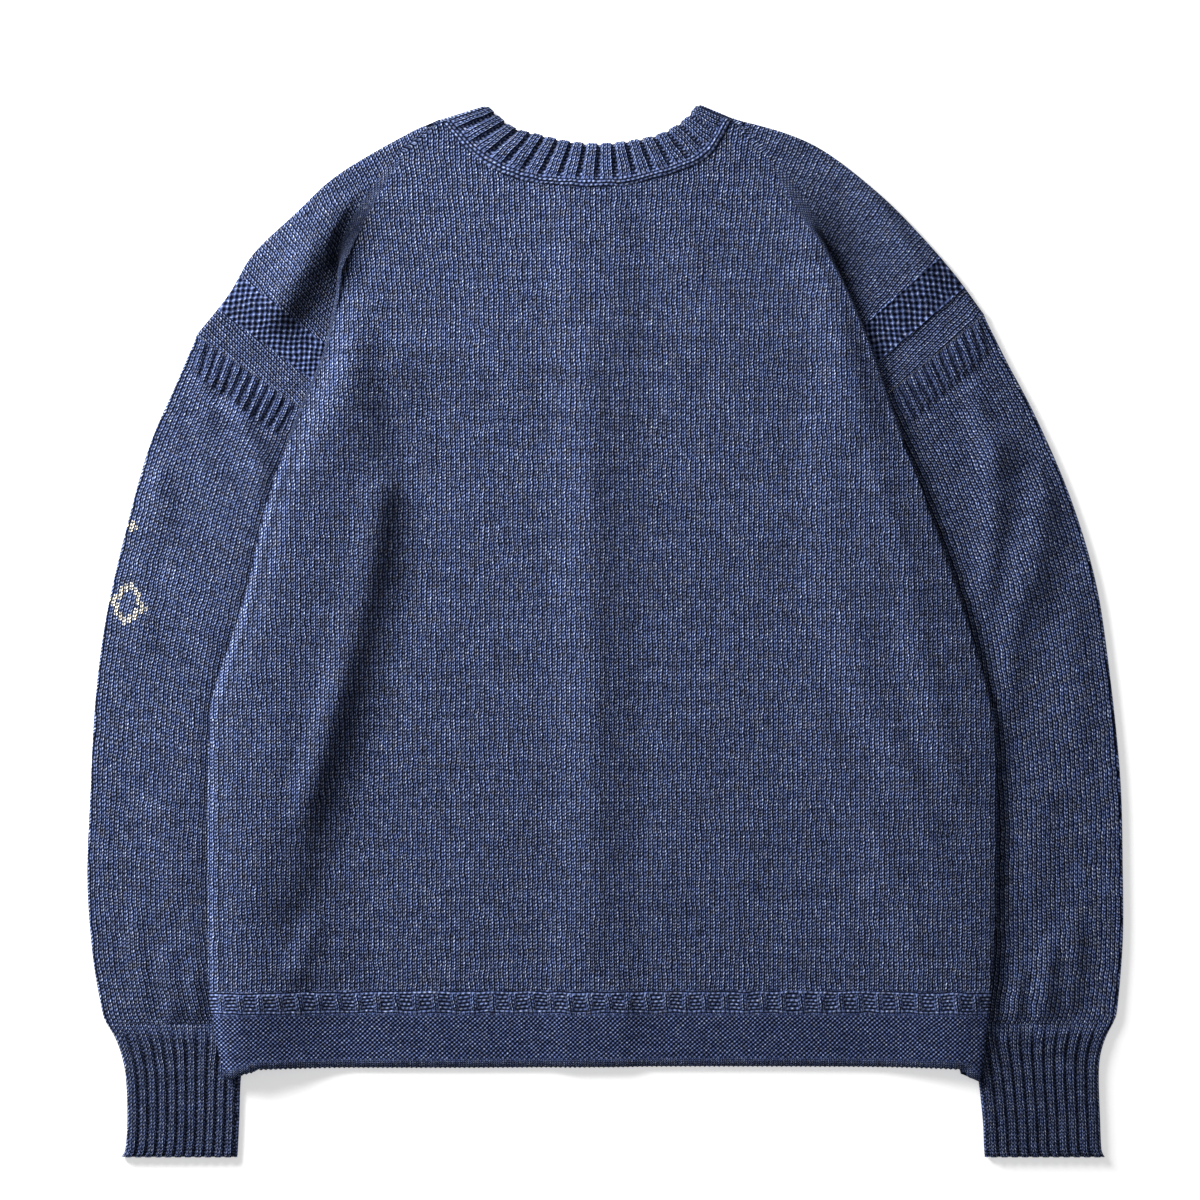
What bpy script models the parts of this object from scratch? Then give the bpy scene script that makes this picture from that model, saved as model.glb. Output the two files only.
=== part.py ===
"""Fisherman cardigan, knitted in blue wool, laid flat with its back side up.

The frame is metres, with +Z up. +X is to the right of somebody who looks down on the back, +Y runs from
the hem to the collar, and the garment lies on the plane z = 0. Its origin is under the middle of it.
The wearer's left is therefore at -X. Sizes here are in millimetres and are scaled when a mesh is made.

Cloth lies in levels. Level 0 is the layer on the surface: the fronts, the under layer of the sleeves and
the button bands. Level 1 is the layer above it: the back and the upper layer of the sleeves. The sides of
the body lie over the sleeves, so there both the fronts and the back climb by SIDE_LIFT.
"""

import math

import bmesh
import bpy
import numpy as np

# Cloth
CLOTH = 2.3
GAP = 0.3
LEVEL_0 = CLOTH / 2
LEVEL_1 = LEVEL_0 + CLOTH + GAP
SIDE_LIFT = 6.8
SLOPE_START, SLOPE_END = 4.0, 50.0
FRONT_LATE = 2.0
OPENING_FADE = (350.0, 318.0)
HALF_COUNT = 14
BEND_COLUMN = 8
SLIT = 2.0
EDGE_ROUND = 4.5
EDGE_DROP = 1.9
TUBE_TURN = (LEVEL_1 - LEVEL_0) / 2
TUBE_MIDDLE = (LEVEL_1 + LEVEL_0) / 2
TUCK_TURN = SIDE_LIFT / 4
SEAM = 0.3

# The body below the underarms: the edge of the back, left and right, at each height
BODY_EDGES = (
    # height, left, right
    (143, -238, 224),
    (96, -253, 240),
    (23, -270, 266),
    (-44, -292, 286),
    (-78, -296, 292),
    (-149, -297, 293),
    (-206, -297, 292),
    (-269, -296, 289),
    (-310, -290, 284),
    (-336, -283, 280),
)
WELT_TOP = -269.0
BODY_ROWS = (WELT_TOP + SEAM, -235, -195, -155, -115, -78, -44, -10, 23, 55, 85, 110, 126)
HEM_HEIGHTS = (
    # across, height
    (-284, -335.5),
    (-273, -332),
    (-261, -328.7),
    (-248, -327),
    (-100, -327),
    (71, -326),
    (252, -327),
    (266, -331),
    (280, -337),
)

# The tuck over each sleeve, from the underarm (share 0) up to the neck point (share 1)
TUCK_LEFT = (
    # share, across, height
    (0.00, -238, 143),
    (0.20, -226, 172),
    (0.40, -211, 208),
    (0.60, -202, 248),
    (0.75, -195, 286),
    (0.90, -160, 347),
    (1.00, -124, 383),
)
TUCK_RIGHT = (
    # share, across, height
    (0.00, 224, 143),
    (0.20, 211, 180),
    (0.40, 197, 220),
    (0.60, 179, 261),
    (0.75, 158, 301),
    (0.90, 128, 347),
    (1.00, 96, 384),
)
TUCK_TOP_FACING = (0.91, -0.40)
TUCK_TURNS_OUT = (0.55, 1.0)
TUCK_LEAST = 1.0
TUCK_TOP = 0.64
TUCK_FADE = 0.80

# The outline of each shoulder, from the armhole corner up to the neck point
SHOULDER_LEFT = ((-306, 222), (-282, 252), (-264, 282), (-233, 312), (-200, 342), (-149, 372), (-124, 383))
SHOULDER_RIGHT = ((284, 237), (262, 267), (236, 297), (206, 327), (168, 357), (138, 372), (96, 384))
WING_SHARE = 0.62
UNDERARM_LEFT = (-169, 128)
UNDERARM_RIGHT = (158, 134)
WING_SHARES = (0.0, 0.08, 0.16, 0.17, 0.26, 0.35, 0.36, 0.48, 0.58, 0.64, 0.69, 0.74, 0.80, 0.88, 0.95, 1.0)
MOSS_BAND = (0.165, 0.355)
MOSS_RISE = 0.5

# The neck: the seam where the band joins the back, and the band's free edge, from left to right
NECK_EDGES = (
    # seam across, seam height, free edge across, free edge height
    (-124, 383, -89, 394),
    (-101, 358, -70, 378),
    (-72, 340, -50, 372),
    (-40, 334, -28, 367),
    (-8, 332, -6, 365),
    (24, 335, 17, 367),
    (56, 344, 40, 372),
    (80, 357, 58, 382),
    (96, 384, 70, 395),
)
NECK_SEAM = [row[:2] for row in NECK_EDGES]
NECK_FREE = [row[2:] for row in NECK_EDGES]
FRONT_SEAM_LEFT = ((-124, 383), (-120, 352), (-102, 318), (-70, 292), (-24, 283))
FRONT_FREE_LEFT = ((-89, 394), (-86, 368), (-75, 343), (-54, 324), (-24, 314))
FRONT_SEAM_RIGHT = ((96, 384), (98, 352), (82, 318), (52, 292), (8, 283))
FRONT_FREE_RIGHT = ((70, 395), (69, 368), (58, 343), (38, 324), (8, 314))
NECK_RIBS = 17
RIB_RISE = 1.4
NECK_GAP = 1.1

# The sleeves, from the armhole to the cuff: the outer fold and the inner fold at each station
SLEEVE_LEFT = (
    # share, outer across, outer height, inner across, inner height
    (0.00, -306, 221, -169, 127),
    (0.05, -322, 184, -165, 92),
    (0.13, -342, 137, -163, 53),
    (0.24, -360, 72, -170, 8),
    (0.35, -374, 10, -184, -44),
    (0.47, -382, -52, -196, -94),
    (0.60, -386, -127, -210, -149),
    (0.73, -388, -187, -223, -202),
    (0.87, -384, -243, -240, -251),
    (0.96, -377, -284, -259, -286),
    (1.00, -374, -293, -266, -294),
)
SLEEVE_RIGHT = (
    # share, outer across, outer height, inner across, inner height
    (0.00, 284, 236, 158, 133),
    (0.05, 301, 202, 156, 97),
    (0.13, 323, 160, 160, 53),
    (0.24, 348, 102, 169, 8),
    (0.35, 367, 40, 182, -44),
    (0.47, 377, -22, 196, -94),
    (0.60, 386, -108, 210, -149),
    (0.73, 388, -180, 223, -202),
    (0.87, 388, -232, 242, -251),
    (0.96, 384, -282, 262, -286),
    (1.00, 381, -293, 271, -294),
)
CUFF_LEFT = (
    # share, outer across, outer height, inner across, inner height
    (0.00, -374, -293.3, -266, -294.3),
    (0.12, -367, -305, -268, -308),
    (0.25, -362, -319, -271, -323),
    (0.40, -359, -336, -273, -338),
    (0.70, -358, -366, -274, -367),
    (1.00, -359, -394, -275, -394),
)
CUFF_RIGHT = (
    # share, outer across, outer height, inner across, inner height
    (0.00, 381, -293.3, 271, -294.3),
    (0.12, 375, -305, 273, -308),
    (0.25, 371, -319, 277, -323),
    (0.40, 370, -336, 280, -338),
    (0.70, 371, -366, 283, -367),
    (1.00, 372, -394, 284, -394),
)
CUFF_RIBS = 11
CUFF_RIB_RISE = 1.1
HEAD_BARS = 11
HEAD_BAR_PERIOD = 7.9
HEAD_BAR_WIDTH = 3.6
HEAD_BAR_LENGTH = 27.0
HEAD_BAR_RISE = 1.0
HEAD_BAR_SHIFTS = (
    # place along the seam, shift of the bar's lower end
    (0, 0.0),
    (6, 4.5),
    (88, -10.5),
    (120, -6.0),
    (165, 0.0),
)

# The welts
HEM_BARS = 40
HEM_BAR_TOP, HEM_BAR_LENGTH = 1.0, 13.0
HEM_BAR_RISE = 1.0

# The front opening, which lies under the middle of the back
CENTRE = -8.0
BAND_WIDTH = 32.0
BAND_CLIMB = 26.0
BUTTON_COUNT = 7
BUTTON_RADIUS = 7.5
BUTTON_THICKNESS = 2.0
BUTTON_LOW, BUTTON_HIGH = -306.0, 298.0
POCKET_RADIUS = 8.0
BAND_OVER_BUTTON = 1.0
RIDGE_HALF = 22.0
RIDGE_SLOPE = 50.0

# Soft folds, as ridges: from one end to the other, with their breadth and their rise
BACK_FOLDS = (
    # across, height, to across, to height, breadth, rise
    (-168, 276, -208, 120, 13, 2.0),
    (150, 290, 196, 150, 14, 1.2),
    (-145, 95, -178, -60, 16, 1.6),
    (-150, 215, -40, 190, 26, 1.2),
    (60, 240, 150, 190, 24, 1.0),
    (150, -40, 215, -190, 16, 1.6),
    (225, 20, 262, -120, 12, 1.2),
    (-40, 200, -30, 20, 24, 1.2),
    (60, -60, 40, -240, 20, 1.0),
    (-240, -60, -262, -230, 12, 1.0),
)
WING_FOLDS = (
    # across, height, to across, to height, breadth, rise
    (-252, 268, -178, 344, 15, 2.6),
    (232, 280, 160, 346, 15, 2.6),
)
SLEEVE_LEFT_FOLDS = (
    # across, height, to across, to height, breadth, rise
    (-282, 168, -268, 112, 9, 2.2),
    (-318, 130, -300, 60, 14, 1.8),
    (-330, -240, -318, -286, 9, 1.6),
)
SLEEVE_RIGHT_FOLDS = (
    # across, height, to across, to height, breadth, rise
    (262, 150, 302, 62, 10, 2.6),
    (330, 120, 318, 20, 14, 1.8),
    (334, -232, 328, -286, 9, 1.6),
)

BLUE = (0.052, 0.067, 0.135, 1.0)
BUTTON_BROWN = (0.055, 0.035, 0.024, 1.0)
MM = 0.001


def smooth(start, end, value):
    """0 at start, 1 at end, with a soft turn at both."""
    share = np.clip((np.asarray(value, float) - start) / (end - start), 0, 1)
    return share * share * (3 - 2 * share)


def curve(points, steps=12):
    """A dense line on a smooth curve through the points."""
    points = np.array(points, float)
    before = np.vstack([2 * points[0] - points[1], points[:-1]])
    after = np.vstack([points[1:], 2 * points[-1] - points[-2]])
    tangents = (after - before) / 2
    dense = [points[0]]
    for i in range(len(points) - 1):
        for s in np.linspace(0, 1, steps + 1)[1:]:
            dense.append(
                (2 * s**3 - 3 * s**2 + 1) * points[i]
                + (s**3 - 2 * s**2 + s) * tangents[i]
                + (3 * s**2 - 2 * s**3) * points[i + 1]
                + (s**3 - s**2) * tangents[i + 1]
            )
    return np.array(dense)


def along(line, shares):
    """The points at these shares of a line's length."""
    lengths = np.concatenate([[0], np.cumsum(np.linalg.norm(np.diff(line, axis=0), axis=1))])
    at = np.asarray(shares, float) * lengths[-1]
    return np.stack([np.interp(at, lengths, line[:, k]) for k in range(line.shape[1])], axis=-1)


def column(table, key, value, at):
    """A table's value column, read from a smooth curve at a place in its key column."""
    dense = curve([(row[key], row[value]) for row in table])
    if dense[0, 0] > dense[-1, 0]:
        dense = dense[::-1]
    return np.interp(at, dense[:, 0], dense[:, 1])


def unit(vector):
    vector = np.asarray(vector, float)
    return vector / np.linalg.norm(vector, axis=-1, keepdims=True)


def distance_to_line(points, line):
    """How far each point is from a line, seen from above."""
    start, step = line[:-1, :2], np.diff(line[:, :2], axis=0)
    from_start = points[..., None, :2] - start
    share = np.clip((from_start * step).sum(-1) / (step * step).sum(-1), 0, 1)
    return np.linalg.norm(from_start - share[..., None] * step, axis=-1).min(-1)


def folds(points, table):
    """The rise of the soft folds at each point: a bell across each fold, which dies away at its ends."""
    total = np.zeros(points.shape[:-1])
    for across, height, to_across, to_height, breadth, rise in table:
        start = np.array((across, height), float)
        step = np.array((to_across, to_height), float) - start
        share = ((points[..., :2] - start) @ step) / (step @ step)
        nearest = start + np.clip(share, 0, 1)[..., None] * step
        away = np.linalg.norm(points[..., :2] - nearest, axis=-1)
        bell = np.exp(-((away / breadth) ** 2))
        total += rise * bell * smooth(-0.25, 0.25, share) * smooth(1.25, 0.75, share)
    return total


def edge_drop(points, line):
    """How much an outer face falls towards an edge of the cloth, as a quarter of an ellipse."""
    inward = np.clip(1 - distance_to_line(points, line) / EDGE_ROUND, 0, 1)
    return EDGE_DROP * (1 - np.sqrt(1 - inward**2))


def inner_fold(side, height):
    """How far across the sleeve's inner fold lies at a height, on one side."""
    table = SLEEVE_LEFT if side < 0 else SLEEVE_RIGHT
    cuff = CUFF_LEFT if side < 0 else CUFF_RIGHT
    rows = [(row[4], row[3]) for row in table] + [(row[4], row[3]) for row in cuff[1:]]
    rows = np.array(rows[::-1], float)
    return np.interp(height, rows[:, 0], rows[:, 1])


def side_lift(points, late=0.0):
    """How far the body stands above its level, over the sleeves. The fronts climb a little later than the
    back, which keeps the two layers clear of each other on the slope."""
    lift = np.zeros(points.shape[:-1])
    for side in (-1, 1):
        past = side * (inner_fold(side, points[..., 1]) - points[..., 0]) + late
        lift = np.maximum(lift, smooth(SLOPE_END, SLOPE_START, past))
    return SIDE_LIFT * lift


def opening_lift(points):
    """How far the back stands above its level, over the two button bands."""
    across = np.abs(points[..., 0] - CENTRE)
    share = smooth(RIDGE_HALF + RIDGE_SLOPE, RIDGE_HALF, across)
    return (CLOTH + GAP) * share * smooth(*OPENING_FADE, points[..., 1])


def flat_rows(plan, middle, facing, rise=0.0, drop=0.0):
    """Rows of (outer, inner) point pairs for cloth that faces up (1) or down (-1)."""
    outer = np.dstack([plan[..., 0], plan[..., 1], middle + facing * (CLOTH / 2 + rise - drop)])
    inner = np.dstack([plan[..., 0], plan[..., 1], middle - facing * CLOTH / 2 + 0 * plan[..., 0]])
    return list(np.stack([outer, inner], axis=2))


def row_shares(row):
    middle = row.mean(axis=1)
    lengths = np.concatenate([[0], np.cumsum(np.linalg.norm(np.diff(middle, axis=0), axis=1))])
    return lengths / lengths[-1]


def strip(first, second, first_shares, second_shares):
    """Triangles between two rows of points, which may differ in number."""
    i, j, found = 0, 0, []
    while i < len(first) - 1 or j < len(second) - 1:
        step_first = j == len(second) - 1 or (
            i < len(first) - 1 and first_shares[i + 1] <= second_shares[j + 1] + 1e-9
        )
        if step_first:
            found.append((first[i], second[j], first[i + 1]))
            i += 1
        else:
            found.append((first[i], second[j], second[j + 1]))
            j += 1
    return [face for face in found if len(set(face)) == 3]


def dress(thing, colour, roughness):
    material = bpy.data.materials.new(thing.name)
    material.use_nodes = True
    shader = material.node_tree.nodes["Principled BSDF"]
    shader.inputs["Base Color"].default_value = colour
    shader.inputs["Roughness"].default_value = roughness
    shader.inputs["Metallic"].default_value = 0.0
    thing.data.materials.append(material)


def cloth_wall(name, patches, collection):
    """One closed wall of cloth. A patch is a list of rows of (outer, inner) point pairs, and patches join
    where their pairs are the same. Edges that belong to one patch alone are closed with a rim."""
    numbers, pairs, faces = {}, [], []
    for patch in patches:
        rows = []
        for row in patch:
            keys = [tuple(np.round(pair, 3).ravel() + 0.0) for pair in row]
            for key, pair in zip(keys, row):
                if key not in numbers:
                    numbers[key] = len(pairs)
                    pairs.append(pair)
            rows.append(([numbers[key] for key in keys], row_shares(row)))
        for (first, first_shares), (second, second_shares) in zip(rows, rows[1:]):
            if len(first) == len(second):
                second_shares = first_shares
            faces += strip(first, second, first_shares, second_shares)
    edges = {}
    for face in faces:
        for a, b in zip(face, face[1:] + face[:1]):
            edges.setdefault(frozenset((a, b)), []).append((a, b))
    points = np.array(pairs).transpose(1, 0, 2).reshape(-1, 3) * MM
    count = len(pairs)
    whole = [tuple(face) for face in faces]
    whole += [tuple(count + k for k in face[::-1]) for face in faces]
    for uses in edges.values():
        if len(uses) == 1:
            a, b = uses[0]
            whole += [(b, a, count + a), (b, count + a, count + b)]
    mesh = bpy.data.meshes.new(name)
    mesh.from_pydata(points.tolist(), [], whole)
    work = bmesh.new()
    work.from_mesh(mesh)
    bmesh.ops.recalc_face_normals(work, faces=work.faces)
    work.to_mesh(mesh)
    work.free()
    mesh.shade_smooth()
    mesh.set_sharp_from_angle(angle=math.radians(40))
    wall = bpy.data.objects.new(name, mesh)
    collection.objects.link(wall)
    dress(wall, BLUE, 0.9)
    return wall


def half_columns(side, edges, limits):
    """Places across one half of the body, from its edge to the middle: the part over the sleeve, the slope
    beside it, and the slope up to the button bands. The fronts and the back share them, so that their
    layers stay parallel."""
    edges, limits = np.asarray(edges, float), np.asarray(limits, float)
    top = limits - side * SLOPE_START
    foot = limits - side * SLOPE_END
    width = np.abs(top - edges)
    ridge_foot = np.full(len(edges), CENTRE + side * (RIDGE_HALF + RIDGE_SLOPE))
    ridge_top = np.full(len(edges), CENTRE + side * RIDGE_HALF)
    over = [np.zeros(len(edges)), np.minimum(1.5 / width, 0.1), np.minimum(EDGE_ROUND / width, 0.3)]
    over += [np.full(len(edges), 0.6), np.ones(len(edges))]
    columns = [edges + share * (top - edges) for share in over]
    columns += [top + share * (foot - top) for share in (0.25, 0.5, 0.75, 1.0)]
    columns += [foot + share * (ridge_foot - foot) for share in (0.5, 1.0)]
    columns += [ridge_foot + share * (ridge_top - ridge_foot) for share in (0.33, 0.67, 1.0)]
    return np.stack(columns, axis=1)


def body_columns(left_edges, right_edges, left_limits, right_limits):
    left = half_columns(-1, left_edges, left_limits)
    right = half_columns(1, right_edges, right_limits)
    middle = np.full((len(left), 1), CENTRE)
    return np.hstack([left, middle, right[:, ::-1]])


def tuck_line(side):
    """The visible edge of the tuck, with the share of each dense point."""
    return curve(TUCK_LEFT if side < 0 else TUCK_RIGHT)


def tuck_frame(side, share):
    """Where the tuck starts at a share, the way it faces, its turning angle and the breadth of its under
    layer."""
    dense = tuck_line(side)
    edge = np.array([np.interp(share, dense[:, 0], dense[:, k]) for k in (1, 2)])
    underarm = np.array(UNDERARM_LEFT if side < 0 else UNDERARM_RIGHT, float)
    low = unit(dense[0, 1:] - underarm)
    high = unit((side * TUCK_TOP_FACING[0], TUCK_TOP_FACING[1]))
    turn_out = smooth(*TUCK_TURNS_OUT, share)
    facing = unit((1 - turn_out) * low + turn_out * high)
    angle = math.pi * float(smooth(TUCK_FADE, TUCK_TOP, share))
    deepest = np.linalg.norm(dense[0, 1:] - underarm) - TUCK_TURN - CLOTH / 2
    depth = TUCK_LEAST + (deepest - TUCK_LEAST) * max(0.0, 1 - share / TUCK_TOP)
    return edge, facing, angle, depth


def tuck_profile(angle, depth, steps=5):
    """The tuck in section: how far out, how far down and how tilted it is, from the body to the wing."""
    tilts = np.concatenate([np.linspace(0, angle, steps), [angle], np.linspace(angle, 0, steps)[1:]])
    turn = np.full(steps - 1, math.pi * TUCK_TURN / (steps - 1))
    lengths = np.concatenate([turn, [depth], turn])
    middles = (tilts[1:] + tilts[:-1]) / 2
    out = np.concatenate([[0], np.cumsum(lengths * np.cos(middles))])
    down = np.concatenate([[0], np.cumsum(lengths * np.sin(middles))])
    return out, down, tilts


def tuck_rows(side, shares):
    """For each share: the start of the tuck in plan, its drop, and its row of point pairs."""
    starts, drops, limits, rows = [], [], [], []
    for share in shares:
        edge, facing, angle, depth = tuck_frame(side, share)
        out, down, tilts = tuck_profile(angle, depth)
        reach = out[:5].max() + CLOTH / 2 * math.sin(min(angle, math.pi / 2))
        start = edge - facing * reach if share < 1 else edge
        height = LEVEL_1 + down[-1] - down
        middle = np.column_stack([start + out[:, None] * facing, height])
        normal = np.column_stack([np.sin(tilts)[:, None] * facing, np.cos(tilts)])
        rows.append(np.stack([middle + normal * CLOTH / 2, middle - normal * CLOTH / 2], axis=1))
        starts.append(start)
        drops.append(down[-1])
        limits.append((start + out[5] * facing)[0] if angle > 3 else start[0])
    return np.array(starts), np.array(drops), np.array(limits), rows


def wing_plan(side, shares, inner_ends):
    """The shoulder wing in plan: rows run from the tuck to the shoulder's outline. The lowest row is the
    armhole seam, and the highest one lies on the outline."""
    outline = curve(SHOULDER_LEFT if side < 0 else SHOULDER_RIGHT)
    across = np.array([0, 0.16, 0.32, 0.48, 0.64, 0.80, 0.92, 0.965, 0.985, 1.0])
    outer_ends = along(outline, np.array(shares) * WING_SHARE)
    straight = inner_ends[:, None] + across[None, :, None] * (outer_ends - inner_ends)[:, None]
    outline_length = np.linalg.norm(np.diff(outline, axis=0), axis=1).sum()
    top_start = 1 - np.linalg.norm(inner_ends[-1] - outline[-1]) / outline_length
    top = along(outline, top_start + across * (WING_SHARE - top_start))
    bend = top - straight[-1]
    bend[0] = 0
    plan = straight + (np.array(shares) ** 3)[:, None, None] * bend
    return plan, outline


def back_top(shares, left, right, left_limit, right_limit):
    """The back above the underarms in plan: rows that bend more and more to the seam of the neck."""
    across = body_columns(left[:, 0], right[:, 0], left_limit, right_limit)
    share = (across - left[:, :1]) / (right[:, :1] - left[:, :1])
    straight = left[:, None] + share[..., None] * (right - left)[:, None]
    level = left[-1] + share[..., None] * (right[-1] - left[-1])
    upper = straight + (shares**2)[:, None, None] * (along(curve(NECK_SEAM), share) - level)
    upper[:, 0], upper[:, -1] = left, right
    return upper


def neck_line():
    """The neck seam as the back's top row has it, so that the band keeps an even gap to it."""
    shares = np.array(WING_SHARES)
    left, _, left_limit, _ = tuck_rows(-1, shares)
    right, _, right_limit, _ = tuck_rows(1, shares)
    return back_top(shares, left, right, left_limit, right_limit)[-1]


def back(collection):
    """The back: one knitted panel. At each shoulder it turns under itself in a tuck and comes out again as
    the wing that carries the moss band."""
    shares = np.array(WING_SHARES)
    heights = np.array(BODY_ROWS + (137,))
    left, left_drop, left_limit, left_rows = tuck_rows(-1, shares)
    right, right_drop, right_limit, right_rows = tuck_rows(1, shares)
    edges = [column(BODY_EDGES, 0, k, heights) for k in (1, 2)]
    across = body_columns(*edges, inner_fold(-1, heights), inner_fold(1, heights))
    lower = np.dstack([across, np.repeat(heights[:, None], across.shape[1], 1)])
    edge_lines = [curve([(row[1 + k], row[0]) for row in BODY_EDGES[:-2]]) for k in (0, 1)]
    drop = np.maximum(edge_drop(lower, edge_lines[0]), edge_drop(lower, edge_lines[1]))
    height = LEVEL_1 + side_lift(lower) + opening_lift(lower) + folds(lower, BACK_FOLDS)
    patches = [flat_rows(lower, height, 1, drop=drop)]

    upper = back_top(shares, left, right, left_limit, right_limit)
    lift = np.zeros(upper.shape[:-1])
    for side, drops, limits in ((-1, left_drop, left_limit), (1, right_drop, right_limit)):
        past = side * (limits[:, None] - upper[..., 0])
        lift = np.maximum(lift, drops[:, None] * smooth(SLOPE_END, SLOPE_START, past))
    lift[:, 0], lift[:, -1] = left_drop, right_drop
    fade = smooth(0, 8, np.minimum(upper[..., 0] - left[:, :1], right[:, :1] - upper[..., 0]))
    height = LEVEL_1 + lift + opening_lift(upper) + fade * folds(upper, BACK_FOLDS)
    body_rows = flat_rows(upper, height, 1)
    patches[0] += body_rows

    for side, rows in ((-1, left_rows), (1, right_rows)):
        ends = np.array([row[-1].mean(axis=0)[:2] for row in rows])
        plan, outline = wing_plan(side, shares, ends)
        inside = (shares > MOSS_BAND[0]) & (shares < MOSS_BAND[1])
        rise = MOSS_RISE * inside[:, None] * smooth(0, 0.1, np.linspace(0, 1, plan.shape[1]))
        drop = edge_drop(plan, outline)
        drop[:, 0] = 0
        steps = np.linspace(0, 1, plan.shape[1])
        height = LEVEL_1 + folds(plan, WING_FOLDS) * smooth(0, 0.2, steps) * smooth(1, 0.8, steps)
        wing = flat_rows(plan, height, 1, rise, drop)
        edge = [0] if side < 0 else [-1]
        joined = zip(body_rows, rows, wing)
        patches.append([np.concatenate([body[edge], row[1:-1], flat]) for body, row, flat in joined])
    return cloth_wall("back", patches, collection)


def bar_columns(length, first, period, width, count, ramp=0.6):
    """Places along a row for raised bars, and which of them are raised."""
    places, raised = [0.0], [0]
    for k in range(count):
        start = first + k * period
        places += [start, start + ramp, start + width - ramp, start + width]
        raised += [0, 1, 1, 0]
    return np.array(places + [length]), np.array(raised + [0])


def welt_rows():
    """The welt in plan: for each row, its places across at the body's own columns."""
    hem = curve(HEM_HEIGHTS)
    tops = np.array([0.0, HEM_BAR_TOP + 1, HEM_BAR_LENGTH, HEM_BAR_LENGTH + 1.2, HEM_BAR_LENGTH + 1.8])
    heights = list(WELT_TOP - SEAM - tops)
    foot = heights[-1]
    lowest = BODY_EDGES[-1][0]
    rows = []
    for height in heights + [foot + share * (lowest - foot) for share in (0.45, 0.75, 0.9, 0.97, 1.0)]:
        edges = [column(BODY_EDGES, 0, k, [height]) for k in (1, 2)]
        across = body_columns(*edges, inner_fold(-1, [height]), inner_fold(1, [height]))[0]
        bottom = np.interp(across, hem[:, 0], hem[:, 1])
        down = np.full(len(across), float(height))
        if height < foot:
            down = foot + (height - foot) / (lowest - foot) * (bottom - foot)
        rows.append(np.column_stack([across, down]))
    return rows


def back_welt(collection):
    """The welt under the back: a row of raised bars, then moss stitch, then the edge."""
    hem = curve(HEM_HEIGHTS)
    lines = [curve([(row[1 + k], row[0]) for row in BODY_EDGES[-4:]]) for k in (0, 1)] + [hem]
    patch = []
    for number, coarse in enumerate(welt_rows()):
        height = LEVEL_1 + side_lift(coarse) + opening_lift(coarse) + folds(coarse, BACK_FOLDS)
        plan, rise = coarse, np.zeros(len(coarse))
        if number < 4:
            left, right = coarse[0, 0], coarse[-1, 0]
            period = (right - left) / (HEM_BARS + 0.5)
            places, raised = bar_columns(right - left, 0.4 * period, period, 6.4, HEM_BARS)
            across = left + places
            plan = np.column_stack([across, np.full(len(across), coarse[0, 1])])
            height = np.interp(across, coarse[:, 0], height)
            rise = HEM_BAR_RISE * raised * (number in (1, 2))
        drop = np.max([edge_drop(plan, line) for line in lines], axis=0)
        patch += flat_rows(plan[None], height[None], 1, rise[None], drop[None])
    return cloth_wall("back_welt", [patch], collection)


def front_climb(points, side):
    """The right front climbs to the upper button band, which lies on the left one."""
    if side < 0:
        return np.zeros(points.shape[:-1])
    edge = CENTRE + BAND_WIDTH / 2
    return (CLOTH + GAP) * smooth(edge + BAND_CLIMB, edge + 3, points[..., 0])


def front_edge(side):
    """Where a front ends, beside the button bands."""
    return CENTRE + side * (BAND_WIDTH / 2 + SEAM)


def front_neck_line(side):
    """The seam between a front and the neckband, at the front's own columns."""
    seam = curve(FRONT_SEAM_LEFT if side < 0 else FRONT_SEAM_RIGHT)
    line = along(seam, (0, 0.14, 0.3, 0.46, 0.62, 0.8, 1.0))
    line[-1, 0] = front_edge(side)
    return line


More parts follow.
